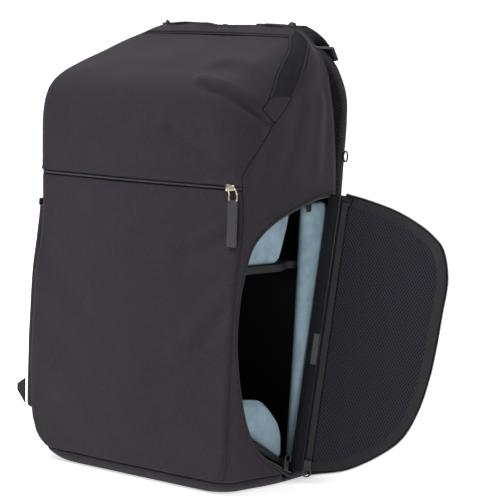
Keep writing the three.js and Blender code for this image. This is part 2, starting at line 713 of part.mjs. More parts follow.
// Back padding with a ventilation channel, following the rear of the body
const backPadCorner = 28;
function roundedRectangle(a0, a1, b0, b1, radius, steps = 4) {
  const turns = [[a1, b0, -90], [a1, b1, 0], [a0, b1, 90], [a0, b0, 180]];
  return turns.flatMap(([a, b, start]) => Array.from({ length: steps + 1 }, (_, k) => {
    const angle = THREE.MathUtils.degToRad(start + (90 * k) / steps);
    const ca = a === a1 ? a1 - radius : a0 + radius;
    const cb = b === b1 ? b1 - radius : b0 + radius;
    return [ca + radius * Math.cos(angle), cb + radius * Math.sin(angle)];
  }));
}
const backPadTop = bodyHeight - backPadDrop;
const backPadHalf = backPadWidth / 2;
const padOutline = roundedRectangle(backPadBottom, backPadTop, -backPadHalf, backPadHalf, backPadCorner);
const backPad = bodySolid(grown(backPadThickness)).subtract(clearBody)
  .intersect(slabY(padOutline, 0, outside))
  .intersect(between(rearSeam, farBack, backPadBottom - 1, backPadTop + 1))
  .subtract(block(
    -backChannelWidth / 2,
    backChannelWidth / 2,
    backAt(bodyHeight / 2) + backPadThickness / 2,
    outside,
    -1,
    topLimit,
  ));

// Shoulder straps. out is a share of strapSpread, back and up are shares of bodyDepth and bodyHeight.
const strapTable = [
  [1.00, 0.378, 0.935], [1.00, 0.465, 0.948], [1.04, 0.560, 0.938], [1.13, 0.640, 0.905], [1.21, 0.690, 0.848],
  [1.28, 0.668, 0.785], [1.34, 0.625, 0.715], [1.38, 0.595, 0.650], [1.38, 0.582, 0.570], [1.36, 0.580, 0.490],
  [1.36, 0.585, 0.425],
];
const strapPoint = (side) => ([out, back, up]) => [side * out * strapSpread, back * bodyDepth, up * bodyHeight];
const strapSteps = 14;
function shoulderStrap(side) {
  const path = curvePath(strapTable.map(strapPoint(side)), strapSteps);
  const widths = path.map((_, i) => strapWidth * (1 - 0.16 * Math.max(0, (i / strapSteps - 0.7) / 0.3)));
  return strip(path, widths, strapThickness).subtract(clearBody);
}
const strapFoot = strapTable[strapTable.length - 1];

// Adjusting buckle, webbing and anchor below each strap
const buckleTop = strapFoot[2] * bodyHeight - seat;
const anchorX = 1.76 * strapSpread;
const anchorHeight = 0.15 * bodyHeight;
const anchorRise = 16;
const anchorThickness = 3.2;
const buckleRail = 3;
const buckleSlot = 5;
function strapBuckle(side) {
  const x = side * strapFoot[0] * strapSpread;
  const y = strapFoot[1] * bodyDepth;
  const half = webbingWidth / 2 + buckleRail;
  const bar = (halfWidthAcross, halfDepth, z0, z1) => block(
    x - halfWidthAcross,
    x + halfWidthAcross,
    y - halfDepth,
    y + halfDepth,
    z0,
    z1,
  );
  const frame = bar(half, buckleThickness / 2, buckleTop - buckleLength, buckleTop);
  const slot = (z) => bar(webbingWidth / 2, buckleThickness, z - buckleSlot / 2, z + buckleSlot / 2);
  return frame.subtract(slot(buckleTop - buckleLength * 0.32)).subtract(slot(buckleTop - buckleLength * 0.7));
}
function webbingRun(side, clearance = 0) {
  const x = side * strapFoot[0] * strapSpread;
  const y = strapFoot[1] * bodyDepth;
  const path = [
    [x, y, buckleTop - buckleLength - seat],
    [x, y, buckleTop - buckleLength - 10],
    [side * (strapFoot[0] * strapSpread + 8), y - 2, buckleTop - buckleLength - 40],
    [side * (anchorX - 6), backAt(anchorHeight) + 8, anchorHeight + 34],
    [side * anchorX, backAt(anchorHeight) + 4, anchorHeight + anchorRise],
  ];
  return strip(path, webbingWidth + 2 * clearance, webbingThickness + 2 * clearance);
}
const lowerWebbing = (side) => webbingRun(side).subtract(clearBody);
function anchorTab(side) {
  const path = [
    [side * anchorX, backAt(anchorHeight) + 4, anchorHeight + anchorRise - seat],
    [side * (anchorX + 1), backAt(anchorHeight) + 2, anchorHeight],
    [side * (anchorX + 3), backAt(anchorHeight) - 4, anchorHeight - 26],
  ];
  return strip(path, [webbingWidth + 4, webbingWidth + 12, webbingWidth + 16], anchorThickness)
    .subtract(clearBody).subtract(webbingRun(side, seat));
}

// Load lifters: webbing from the top rear edge to each strap, with a buckle on the strap
const lifterTable = [[0.350, 1.0035], [0.440, 0.9925], [0.520, 0.978], [0.580, 0.962]];
const lifterX = 1.38 * strapSpread;
const lifterBuckleTable = [[0.590, 0.957], [0.640, 0.930]];
const lifterBuckleWidth = 28;
const lifterBuckleThickness = 5;
const grownStrap = (side) => {
  const path = curvePath(strapTable.map(strapPoint(side)), strapSteps);
  return strip(path, strapWidth + 2 * seat, strapThickness + 2 * seat);
};
const lifterPath = (table, side) => table.map(([y, z]) => [side * lifterX, y * bodyDepth, z * bodyHeight]);
const loadLifter = (side) => strip(lifterPath(lifterTable, side), lifterWidth, webbingThickness)
  .subtract(clearBody).subtract(grownStrap(side));
const lifterBuckle = (side) => {
  const path = lifterPath(lifterBuckleTable, side);
  return strip(path, lifterBuckleWidth, lifterBuckleThickness).subtract(grownStrap(side));
};

// Small webbing loop on the outer edge of each strap
const strapLoopRow = 6;
const strapLoopSides = 10;
const strapLoopWire = 1.1;
function strapLoop(side) {
  const [out, back, up] = strapTable[strapLoopRow];
  const x = side * (out * strapSpread + strapWidth / 2 + seat + strapLoopWire);
  const points = Array.from({ length: strapLoopSides }, (_, k) => {
    const a = (2 * Math.PI * k) / strapLoopSides;
    return new THREE.Vector3(
      x + (side * loopWidth * (1 + Math.cos(a))) / 4,
      back * bodyDepth - 1,
      up * bodyHeight + (loopWidth / 2) * Math.sin(a),
    );
  });
  return wire(side > 0 ? points : points.reverse(), strapLoopWire, 5, Y, true);
}

// Grab handle, sewn down along the top rear edge under a tab at each end, that hangs behind it.
// Its front edge slides back off the bag as the strip turns from flat at the ends to handleTilt.
const handleY = backAt(bodyHeight) - 4;
const handleLow = bodyHeight + seat + handleThickness / 2;
function flatStrip(path, width, thicknesses, tilts) {
  const rings = path.map(([x, y, z], i) => {
    const w = width / 2;
    const t = (Array.isArray(thicknesses) ? thicknesses[i] : thicknesses) / 2;
    const soft = t * 0.6;
    const tilt = THREE.MathUtils.degToRad(tilts ? tilts[i] : 0);
    return [
      [w, -t + soft], [w, t - soft], [w - soft * 2, t], [-w + soft * 2, t],
      [-w, t - soft], [-w, -t + soft], [-w + soft * 2, -t], [w - soft * 2, -t],
    ].map(([v, u]) => new THREE.Vector3(
      x,
      y + v * Math.cos(tilt) + u * Math.sin(tilt),
      z - v * Math.sin(tilt) + u * Math.cos(tilt),
    ));
  });
  return solid(loft(rings));
}
const handleEnd = handleSpan / 2;
const handleTabTaper = [4, 3.4, 1.6];
const handleBack = backAt(bodyHeight) + handleStandOff;
const handleFront = [
  [handleEnd, handleY - handleWidth / 2, handleLow],
  [handleEnd * 0.82, handleY - handleWidth / 3, handleLow],
  [handleEnd * 0.6, handleBack - 1, handleLow],
  [handleEnd * 0.3, handleBack + 1, handleLow - handleDrop * 0.6],
];
const handleTilts = [];
const handlePath = curvePath([
  ...handleFront.map(([x, y, z]) => [-x, y, z]),
  [0, handleBack + 1, handleLow - handleDrop],
  ...[...handleFront].reverse(),
], 20).map(([x, y, z]) => {
  const degrees = handleTilt * (1 - THREE.MathUtils.smoothstep(Math.abs(x) / handleEnd, 0.2, 0.8));
  const tilt = THREE.MathUtils.degToRad(degrees);
  handleTilts.push(degrees);
  return [x, y + (handleWidth / 2) * Math.cos(tilt), z - (handleWidth / 2) * Math.sin(tilt)];
});
const grabHandle = flatStrip(handlePath, handleWidth, handleThickness, handleTilts);
function handleTab(side) {
  const inner = handleEnd + seat;
  const path = [
    [side * inner, handleY, handleLow],
    [side * (inner + handleTabLength * 0.3), handleY, handleLow],
    [side * (inner + handleTabLength), handleY, bodyHeight + seat + 0.6],
  ];
  const outwards = side > 0;
  return flatStrip(
    outwards ? path : path.reverse(),
    handleWidth + 3,
    outwards ? handleTabTaper : [...handleTabTaper].reverse(),
  ).subtract(clearBody);
}

// Side pocket: a flat wall standing off the left side panel, open at the top, with a bound mouth
const pocketSide = block(-outside, -halfWidth * 0.97, -outside, outside, 0, topLimit);
const pocketZone = (inset, z0, z1) => between(
  (z) => frontSeam(z) + pocketInset + inset,
  () => pocketRear - inset,
  z0,
  z1,
).intersect(pocketSide);
const pocketOuter = bodySolid(grown(pocketStandOff + pocketWall));
const pocketInner = bodySolid(grown(pocketStandOff));
const pocketCavity = pocketZone(pocketWall, pocketBottom + pocketWall, pocketTop * 1.1).intersect(pocketInner);
const pocket = pocketOuter.intersect(pocketZone(0, pocketBottom, pocketTop))
  .subtract(pocketCavity)
  .subtract(clearBody);
const pocketBinding = pocketOuter.subtract(pocketInner)
  .intersect(pocketZone(0, pocketTop + seat, pocketTop + pocketBindingHeight));

// Small triangular tab at the lower front corner of the pocket
const cornerTabReach = 16;
const cornerTabHeight = 34;
const cornerTabThickness = 2;
const cornerTabX = -halfWidth - pocketStandOff;
const cornerTabY = frontSeam(pocketBottom + cornerTabHeight / 2) + pocketInset + pocketWall;
const cornerTab = slabY([
  [pocketBottom, cornerTabX],
  [pocketBottom + cornerTabHeight, cornerTabX - 1],
  [pocketBottom + cornerTabHeight * 0.72, cornerTabX - cornerTabReach],
  [pocketBottom + cornerTabHeight * 0.5, cornerTabX - cornerTabReach],
], cornerTabY, cornerTabY + cornerTabThickness).subtract(bodySolid(grown(pocketStandOff + pocketWall + seat)));

// Materials
function finish(colour, roughness, metalness = 0) {
  return new THREE.MeshStandardMaterial({ color: colour, roughness, metalness });
}
const shellFabric = finish('#3b383e', 0.85);
const lining = finish('#151517', 0.9);
const bindingTape = finish('#17171a', 0.8);
const spacerMesh = finish('#1e1e22', 0.9);
const insertFabric = finish('#7f98a3', 0.9);
const zipTape = finish('#141416', 0.7);
const webbing = finish('#1b1b1e', 0.75);
const hardPlastic = finish('#121214', 0.45);
const zipMetal = finish('#a39a8c', 0.3, 1);
const pullRubber = finish('#2a292d', 0.6);

// The backpack
const bag = new THREE.Group();
const door = new THREE.Group();
door.applyMatrix4(doorFrame);
bag.add(door);

function piece(name, shape, material, parent = bag) {
  const mesh = new THREE.Mesh(shape.isBufferGeometry ? shape : geometryOf(shape), material);
  mesh.name = name;
  parent.add(mesh);
  return mesh;
}

piece('base_panel', basePanel, shellFabric);
piece('front_panel', frontPanel, shellFabric);
piece('top_panel', topPanel, shellFabric);
piece('side_panel_right', sidePanelRight, shellFabric);
piece('side_panel_left', sidePanelLeft, shellFabric);
piece('top_yoke', topYoke, shellFabric);
piece('back_shell', backShell, shellFabric);
piece('zip_garage_right', garages.intersect(rightHalf), shellFabric);
piece('zip_garage_left', garages.intersect(leftHalf), shellFabric);
piece('front_zip_tape', frontTape, zipTape);
piece('top_zip_tape', topTape, zipTape);
piece('front_zip_slider', slider, zipMetal);
piece('front_zip_bail', bail, zipMetal);
piece('front_zip_pull', pullTab, pullRubber);
piece('opening_binding', openingBindingSolid, bindingTape);
piece('opening_tab', topTab, webbing);
piece('door_panel', doorLayer(doorOutline, 0, doorThickness), shellFabric, door);
piece('door_band', doorBandRing, bindingTape, door);
piece('door_mesh_pocket', doorLayer(doorPocketOutline, doorInner, doorMeshThickness), spacerMesh, door);
piece('door_zip_coil', wire(coilPoints, doorCoilRadius, 6, Z, false), zipTape, door);
piece('door_hinge_strip', hingeTape, bindingTape);
piece('hinge_label', hingeLabel, webbing);
piece('door_slider_upper', upperSlider, hardPlastic);
piece('door_slider_lower', lowerSlider, hardPlastic, door);
piece('insert_floor', insertFloor, lining);
piece('insert_shelf', shelf, lining);
piece('insert_rear_pad', rearPad, insertFabric);
piece('insert_upper_flap', upperFlap, insertFabric);
piece('insert_lower_flap', lowerFlap, insertFabric);
piece('back_pad', backPad, spacerMesh);
piece('grab_handle', grabHandle, webbing);
piece('side_pocket', pocket, bindingTape);
piece('side_pocket_binding', pocketBinding, bindingTape);
piece('side_corner_tab', cornerTab, shellFabric);
for (const [hand, side] of [['right', 1], ['left', -1]]) {
  piece(`shoulder_strap_${hand}`, shoulderStrap(side), spacerMesh);
  piece(`strap_buckle_${hand}`, strapBuckle(side), hardPlastic);
  piece(`lower_webbing_${hand}`, lowerWebbing(side), webbing);
  piece(`anchor_tab_${hand}`, anchorTab(side), shellFabric);
  piece(`load_lifter_${hand}`, loadLifter(side), webbing);
  piece(`lifter_buckle_${hand}`, lifterBuckle(side), hardPlastic);
  piece(`strap_loop_${hand}`, strapLoop(side), webbing);
  piece(`handle_tab_${hand}`, handleTab(side), shellFabric);
}

export default bag;
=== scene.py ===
import json
import math
import random

import bmesh
import bpy
import numpy as np
from mathutils import Matrix, Vector

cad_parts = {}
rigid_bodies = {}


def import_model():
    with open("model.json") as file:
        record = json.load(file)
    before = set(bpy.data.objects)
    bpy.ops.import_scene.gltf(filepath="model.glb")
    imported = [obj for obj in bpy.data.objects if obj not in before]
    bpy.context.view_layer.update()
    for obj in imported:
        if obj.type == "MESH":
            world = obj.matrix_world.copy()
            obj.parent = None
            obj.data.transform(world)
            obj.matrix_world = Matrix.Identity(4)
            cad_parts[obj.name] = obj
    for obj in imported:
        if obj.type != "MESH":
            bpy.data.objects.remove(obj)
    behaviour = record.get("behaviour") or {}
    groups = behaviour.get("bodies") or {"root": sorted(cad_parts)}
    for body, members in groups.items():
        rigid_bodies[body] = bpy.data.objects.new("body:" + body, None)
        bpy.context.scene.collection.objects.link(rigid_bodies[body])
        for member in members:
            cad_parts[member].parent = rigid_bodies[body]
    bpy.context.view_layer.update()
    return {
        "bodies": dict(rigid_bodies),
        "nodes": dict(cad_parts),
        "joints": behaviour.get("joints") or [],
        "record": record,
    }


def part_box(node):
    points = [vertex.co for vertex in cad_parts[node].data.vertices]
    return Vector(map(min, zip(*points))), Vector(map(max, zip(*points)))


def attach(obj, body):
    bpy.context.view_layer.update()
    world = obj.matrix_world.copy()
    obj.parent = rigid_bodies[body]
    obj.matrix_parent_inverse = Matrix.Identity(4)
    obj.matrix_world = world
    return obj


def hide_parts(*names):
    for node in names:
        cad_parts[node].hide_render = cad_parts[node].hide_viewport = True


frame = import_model()
MM = 0.001

# Camera and studio
# A long lens looks at the front and the open side from a little above. The floor runs up into a curved
# backdrop, and two large soft lamps and a pale sky light the cloth from the front, left and right.
focal_pixels = 2058
photo_pixels = 500
azimuth, elevation, roll = (math.radians(a) for a in (40.24, 5.78, 1.74))
aim = Vector((0.054, 0.046, 0.251))
camera_distance = 2.340
back = Vector((math.sin(azimuth) * math.cos(elevation), -math.cos(azimuth) * math.cos(elevation),
               math.sin(elevation)))
right = Vector((math.cos(azimuth), math.sin(azimuth), 0))
up = back.cross(right)
camera_x = right * math.cos(roll) + up * math.sin(roll)
camera_y = up * math.cos(roll) - right * math.sin(roll)
lens = bpy.data.cameras.new("camera")
lens.sensor_width = 36
lens.lens = focal_pixels / photo_pixels * lens.sensor_width
lens.clip_end = 60
camera = bpy.data.objects.new("camera", lens)
turned = Matrix((camera_x, camera_y, back)).transposed().to_4x4()
camera.matrix_world = Matrix.Translation(aim + back * camera_distance) @ turned
bpy.context.scene.collection.objects.link(camera)
bpy.context.scene.camera = camera


def grid_mesh(columns, rows, shape, closed=False):
    """A grid of faces whose points shape(s, t) places, s and t from 0 to 1. shape may give a UV map too."""
    mesh = bmesh.new()
    bmesh.ops.create_grid(mesh, x_segments=columns, y_segments=rows, size=1)
    plan = np.array([v.co for v in mesh.verts])
    s, t = (plan[:, 0] + 1) / 2, (plan[:, 1] + 1) / 2
    placed = shape(s, t)
    points, chart = placed if isinstance(placed, tuple) else (placed, np.stack([s, t], 1))
    layer = mesh.loops.layers.uv.new("cloth")
    for vertex, point in zip(mesh.verts, points):
        vertex.co = point
    for face in mesh.faces:
        face.smooth = True
        for loop in face.loops:
            loop[layer].uv = chart[loop.vert.index]
    if closed:
        bmesh.ops.remove_doubles(mesh, verts=mesh.verts, dist=0.02 * MM)
    return mesh


def place(name, mesh):
    """The object that holds a finished bmesh, at the origin."""
    data = bpy.data.meshes.new(name)
    mesh.to_mesh(data)
    mesh.free()
    piece = bpy.data.objects.new(name, data)
    bpy.context.scene.collection.objects.link(piece)
    return piece


def studio_floor(s, t):
    """Flat floor that turns up into a wall behind the object, seen along the camera's direction."""
    width, near, far, radius, height = 14, -5, 4.5, 2.5, 6
    along = t * (far - near + radius * math.pi / 2 + height)
    flat = far - near
    turn = np.clip((along - flat) / radius, 0, math.pi / 2)
    out = near + np.minimum(along, flat) + radius * np.sin(turn)
    rise = radius * (1 - np.cos(turn)) + np.maximum(0, along - flat - radius * math.pi / 2)
    away = -np.array([back.x, back.y, 0]) / math.hypot(back.x, back.y)
    across = np.array([right.x, right.y, 0])
    return np.outer(out, away) + np.outer((s - 0.5) * width, across) + np.outer(rise, (0, 0, 1))


class Value:
    """One output of a material's nodes. Sums on it, with numbers or with others, add Math nodes."""

    def __init__(self, finish, socket):
        self.finish, self.socket = finish, socket

    def math(self, operation, *others):
        inputs = dict(enumerate((self, *others)))
        return self.finish.node("ShaderNodeMath", {"operation": operation}, inputs)

    def __add__(self, other):
        return self.math("ADD", other)

    __radd__ = __add__

    def __mul__(self, other):
        return self.math("MULTIPLY", other)

    __rmul__ = __mul__

    def __sub__(self, other):
        return self.math("SUBTRACT", other)

    def __rsub__(self, other):
        return self.math("MULTIPLY", -1) + other

    def __gt__(self, other):
        return self.math("GREATER_THAN", other)

    def sine(self):
        return self.math("SINE")

    def size(self):
        return self.math("ABSOLUTE")

    def larger(self, other):
        return self.math("MAXIMUM", other)

    def smaller(self, other):
        return self.math("MINIMUM", other)

    def ribs(self, pitch):
        """Rounded ribs from 0 to 1, one in each pitch."""
        return (self * (math.pi / pitch)).sine().size()

    def clamped(self):
        return self.larger(0).smaller(1)


class Finish:
    """A material on one Principled shader, whose constants are set straight on its sockets."""

    def __init__(self, name, **constants):
        self.material = bpy.data.materials.new(name)
        self.material.use_nodes = True
        self.tree = self.material.node_tree
        self.shader = self.tree.nodes["Principled BSDF"]
        for socket, value in constants.items():
            self.shader.inputs[socket.replace("_", " ")].default_value = value

    def node(self, kind, settings=None, inputs=None, output=0):
        """Any node: its settings first, then a value or a link for each of its inputs."""
        made = self.tree.nodes.new(kind)
        for setting, value in (settings or {}).items():
            setattr(made, setting, value)
        for socket, value in (inputs or {}).items():
            if isinstance(value, Value):
                self.tree.links.new(value.socket, made.inputs[socket])
            else:
                made.inputs[socket].default_value = value
        return Value(self, made.outputs[output])

    def feed(self, socket, value):
        self.tree.links.new(value.socket, self.shader.inputs[socket])

    def object_point(self):
        return self.node("ShaderNodeTexCoord", output="Object")

    def chart(self):
        return self.node("ShaderNodeUVMap", {"uv_map": "cloth"})

    def parts(self, vector):
        split = self.node("ShaderNodeSeparateXYZ", inputs={0: vector})
        return [Value(self, split.socket.node.outputs[i]) for i in range(3)]

    def joined(self, x, y):
        return self.node("ShaderNodeCombineXYZ", inputs={0: x, 1: y})

    def noise(self, vector, scale, detail=2.0):
        return self.node("ShaderNodeTexNoise", inputs={"Vector": vector, "Scale": scale, "Detail": detail})

    def cells(self, pitch):
        """Slanting cells on the piece's own chart, 0 between them and 1 at their middles."""
        u, v, _ = self.parts(self.chart())
        return (u + v * 0.6).ribs(pitch) * (u + v * -0.6).ribs(pitch)

    def blend(self, factor, first, second):
        """A colour between two, each a tuple or a link."""
        mix = self.node("ShaderNodeMix", {"data_type": "RGBA"}, {0: factor})
        for index, colour in ((6, first), (7, second)):
            if isinstance(colour, Value):
                self.tree.links.new(colour.socket, mix.socket.node.inputs[index])
            else:
                mix.socket.node.inputs[index].default_value = (*colour, 1)
        return Value(self, mix.socket.node.outputs[2])

    def relief(self, height, depth):
        """Bump of a real depth in metres under the Normal socket."""
        bump = self.node("ShaderNodeBump", inputs={"Height": height, "Distance": depth, "Strength": 1.0})
        self.feed("Normal", bump)


def linear(red, green, blue):
    """A linear colour from one on the usual 0 to 255 scale."""
    return tuple(((c / 255 + 0.055) / 1.055) ** 2.4 if c > 10 else c / 255 / 12.92
                 for c in (red, green, blue))


floor_paper = Finish("floor_paper", Roughness=0.9, Specular_IOR_Level=0.1, Emission_Color=(1, 1, 1, 1),
                     Emission_Strength=0.62)
floor_paper.feed("Base Color", floor_paper.blend(floor_paper.noise(floor_paper.object_point(), 3.0),
                                                 linear(246, 246, 247), linear(250, 250, 250)))
floor = place("studio_floor", grid_mesh(1, 60, studio_floor))
floor.data.materials.append(floor_paper.material)

bpy.context.scene.view_settings.view_transform = "Standard"
world = bpy.data.worlds.new("studio")
bpy.context.scene.world = world
world.use_nodes = True
world.node_tree.nodes["Background"].inputs["Color"].default_value = (1, 1, 1, 1)
world.node_tree.nodes["Background"].inputs["Strength"].default_value = 0.36


def lamp(name, position, size, power):
    """A square soft box that faces the middle of the bag."""
    light = bpy.data.lights.new(name, "AREA")
    light.size, light.energy = size, power
    holder = bpy.data.objects.new(name, light)
    towards = (aim - Vector(position)).to_track_quat("-Z", "Y")
    holder.matrix_world = Matrix.Translation(position) @ towards.to_matrix().to_4x4()
    bpy.context.scene.collection.objects.link(holder)


lamp("key_lamp", (-0.7, -1.3, 3.1), 0.9, 120)
lamp("side_lamp", (2.6, -0.6, 1.6), 1.0, 30)
lamp("back_lamp", (0.6, 2.2, 1.9), 1.6, 9)

# Body shell
# The bag is a sewn shell of one charcoal melange polyester: a front panel, a lid that slopes up to the rear
# edge, two foam-lined sides, a base and a back. Every panel here is cut from one form, the body's sections
# from the floor up, and its edges roll in to the seam that joins it to the next one.
body_width, body_depth, body_height = 0.304, 0.188, 0.504
half_width = body_width / 2
# Columns: height, front, back, left, right, front corner left, front corner right, rear corner, crown.
# Heights are shares of the height, left and right of half the width, and the others of the depth.
body_sections = np.array([
    [0.000, -0.425, 0.394, 0.770, 0.87, 0.160, 0.150, 0.140, 0.000],
    [0.006, -0.463, 0.426, 0.830, 0.92, 0.150, 0.140, 0.128, 0.000],
    [0.024, -0.495, 0.447, 0.900, 0.97, 0.117, 0.110, 0.106, 0.005],
    [0.065, -0.513, 0.457, 0.985, 0.99, 0.064, 0.058, 0.096, 0.012],
    [0.131, -0.529, 0.463, 1.007, 1.00, 0.048, 0.036, 0.085, 0.020],
    [0.200, -0.529, 0.463, 1.010, 1.00, 0.043, 0.032, 0.085, 0.026],
    [0.320, -0.521, 0.463, 1.013, 1.00, 0.043, 0.032, 0.085, 0.034],
    [0.430, -0.505, 0.463, 1.013, 1.00, 0.043, 0.032, 0.085, 0.036],
    [0.520, -0.473, 0.463, 1.007, 1.00, 0.043, 0.034, 0.085, 0.036],
    [0.595, -0.447, 0.463, 1.020, 0.995, 0.040, 0.040, 0.085, 0.034],
    [0.658, -0.447, 0.460, 1.028, 0.993, 0.040, 0.050, 0.085, 0.034],
    [0.690, -0.452, 0.455, 1.035, 0.993, 0.050, 0.096, 0.085, 0.034],
    [0.730, -0.457, 0.447, 1.043, 0.99, 0.060, 0.160, 0.085, 0.030],
    [0.775, -0.460, 0.436, 1.045, 0.985, 0.070, 0.225, 0.085, 0.026],
    [0.815, -0.457, 0.425, 1.043, 0.98, 0.080, 0.265, 0.085, 0.022],
    [0.845, -0.439, 0.415, 1.040, 0.97, 0.085, 0.290, 0.085, 0.020],
    [0.865, -0.399, 0.410, 1.038, 0.96, 0.090, 0.295, 0.085, 0.020],
    [0.885, -0.325, 0.405, 1.030, 0.95, 0.100, 0.280, 0.080, 0.022],
    [0.908, -0.200, 0.397, 1.015, 0.93, 0.115, 0.240, 0.075, 0.024],
    [0.932, -0.066, 0.388, 0.960, 0.895, 0.120, 0.185, 0.070, 0.026],
    [0.955, 0.064, 0.383, 0.885, 0.84, 0.105, 0.120, 0.065, 0.020],
    [0.976, 0.175, 0.378, 0.775, 0.77, 0.064, 0.064, 0.060, 0.010],
    [0.990, 0.238, 0.372, 0.69, 0.70, 0.040, 0.040, 0.040, 0.004],
    [1.000, 0.285, 0.362, 0.61, 0.61, 0.026, 0.026, 0.026, 0.000],
])
side_crown = 0.012 * body_width


def eased(stops, values, at):
    """A smooth line through values at increasing stops, which never overshoots between two of them."""
    stops, values = np.asarray(stops, float), np.asarray(values, float)
    span = np.diff(stops)
    rate = np.diff(values) / span
    slope = np.zeros(len(stops))
    same_way = rate[:-1] * rate[1:] > 0
    weights = 2 * span[1:] + span[:-1], span[1:] + 2 * span[:-1]
    with np.errstate(divide="ignore", invalid="ignore"):
        mean = (weights[0] + weights[1]) / (weights[0] / rate[:-1] + weights[1] / rate[1:])
    slope[1:-1] = np.where(same_way, mean, 0)
    slope[0], slope[-1] = rate[0], rate[-1]
    i = np.clip(np.searchsorted(stops, at) - 1, 0, len(span) - 1)
    h = span[i]
    x = np.clip((at - stops[i]) / h, 0, 1)
    return ((2 * x**3 - 3 * x**2 + 1) * values[i] + (x**3 - 2 * x**2 + x) * h * slope[i]
            + (3 * x**2 - 2 * x**3) * values[i + 1] + (x**3 - x**2) * h * slope[i + 1])


level_step = 1 * MM
girth_step = 1 * MM
levels = np.arange(0, body_height + level_step / 2, level_step)
columns_at = [eased(body_sections[:, 0] * body_height, body_sections[:, i], levels) for i in range(9)]
front_line, back_line = columns_at[1] * body_depth, columns_at[2] * body_depth


def half_ring(i, side):
    """Half of the body's outline at level i, from the middle of the front round to the middle of the back."""
    across = columns_at[4 if side > 0 else 3][i] * half_width
    corner = columns_at[6 if side > 0 else 5][i] * body_depth
    rear, crown = columns_at[7][i] * body_depth, columns_at[8][i] * body_depth
    front, behind = front_line[i], back_line[i]
    limit = (behind - front) / 2 - 0.5 * MM
    corner, rear = min(corner, limit), min(rear, limit)
    s = np.linspace(0, 1, 30)
    turn = np.linspace(0, math.pi / 2, 24)
    middle = np.stack([s * (across - corner), front - crown * np.sin((0.5 + s / 2) * math.pi) ** 1.5], 1)
    bend = np.stack([across - corner + corner * np.sin(turn), front + corner - corner * np.cos(turn)], 1)
    flank = np.stack([across + side_crown * np.sin(s * math.pi) ** 1.5,
                      front + corner + s * (behind - rear - front - corner)], 1)
    heel = np.stack([across - rear + rear * np.cos(turn), behind - rear + rear * np.sin(turn)], 1)
    rest = np.stack([(1 - s) * (across - rear), np.full(30, behind)], 1)
    ring = np.concatenate([middle, bend[1:], flank[1:], heel[1:], rest[1:]])
    girth = np.concatenate([[0], np.cumsum(np.hypot(*np.diff(ring, axis=0).T))])
    return ring, girth


girth_count = 520
form = {side: np.zeros((len(levels), girth_count, 2)) for side in (-1, 1)}
girths = np.arange(girth_count) * girth_step
for side, table in form.items():
    for i in range(len(levels)):
        ring, girth = half_ring(i, side)
        table[i, :, 0] = side * np.interp(girths, girth, ring[:, 0])
        table[i, :, 1] = np.interp(girths, girth, ring[:, 1])


def on_form(g, z):
    """The body's surface at height z and a distance g round it from the middle of the front, right positive."""
    row = np.clip(z / level_step, 0, len(levels) - 1.001)
    column = np.clip(np.abs(g) / girth_step, 0, girth_count - 1.001)
    i, k = row.astype(int), column.astype(int)
    a, b = (row - i)[:, None], (column - k)[:, None]
    flat = np.zeros((len(g), 2))
    for side, table in form.items():
        found = ((1 - a) * ((1 - b) * table[i, k] + b * table[i, k + 1])
                 + a * ((1 - b) * table[i + 1, k] + b * table[i + 1, k + 1]))
        flat = np.where((g * side >= 0)[:, None], found, flat)
    return np.column_stack([flat, z])


def outward(g, z):
    """The direction straight out of the form."""
    reach = 1.5 * MM
    along = on_form(g + reach, z) - on_form(g - reach, z)
    stalled = np.linalg.norm(along, axis=1) < reach
    along[stalled] = (-1, 0, 0)
    low, high = np.maximum(z - reach, 0), np.minimum(z + reach, body_height)
    rise = on_form(g, high) - on_form(g, low)
    normal = np.cross(along, rise)
    normals = normal / np.maximum(np.linalg.norm(normal, axis=1), 1e-9)[:, None]
    here = on_form(g, z)
    middle_back = (np.abs(here[:, 0]) < 40 * MM) & (here[:, 1] > 50 * MM)
    normals[middle_back] = 0, 1, 0
    return normals


def girth_at(depths, side):
    """How far round the form its side lies at the given depth, at every level."""
    found = np.zeros(len(levels))
    for i, depth in enumerate(np.broadcast_to(depths, levels.shape)):
        line = form[side][i, :, 1]
        last = np.argmax(line >= line.max() - 0.01 * MM)
        found[i] = np.interp(depth, line[:last + 1], girths[:last + 1])
    return found


# Seams seen from the side. Each row is a share of the height and a share of the depth.
lid_seam_table = np.array([
    [0.666, -0.430], [0.683, -0.425], [0.710, -0.383], [0.796, -0.170], [0.824, -0.271], [0.857, -0.175],
    [0.891, -0.112], [0.921, -0.016], [0.948, 0.090], [0.976, 0.186], [1.050, 0.215],
])
zip_rear_table = np.array([
    [0.666, -0.430], [0.683, -0.425], [0.710, -0.383], [0.796, -0.170], [0.839, -0.053], [0.873, 0.027],
    [0.913, 0.117], [0.938, 0.181], [0.962, 0.250], [0.986, 0.277], [1.050, 0.287],
])
front_seam_inset, rear_seam_inset = 3 * MM, 9 * MM


def front_seam(z):
    return np.interp(z, levels, front_line) + front_seam_inset


def rear_seam(z):
    return np.interp(z, levels, back_line) - rear_seam_inset


def lid_seam(z):
    return np.interp(z / body_height, *lid_seam_table.T) * body_depth


def zip_rear(z):
    return np.interp(z / body_height, *zip_rear_table.T) * body_depth


seam_girths = {side: {name: girth_at(line(levels), side) for name, line in (
    ("front", front_seam), ("lid", lid_seam), ("zip", zip_rear), ("rear", rear_seam))} for side in (-1, 1)}
half_perimeters = {side: np.array([half_ring(i, side)[1][-1] for i in range(len(levels))])
                   for side in (-1, 1)}


def girth_of(name, z, side):
    """Distance round the form to a seam, at heights z."""
    return np.interp(z, levels, seam_girths[side][name])


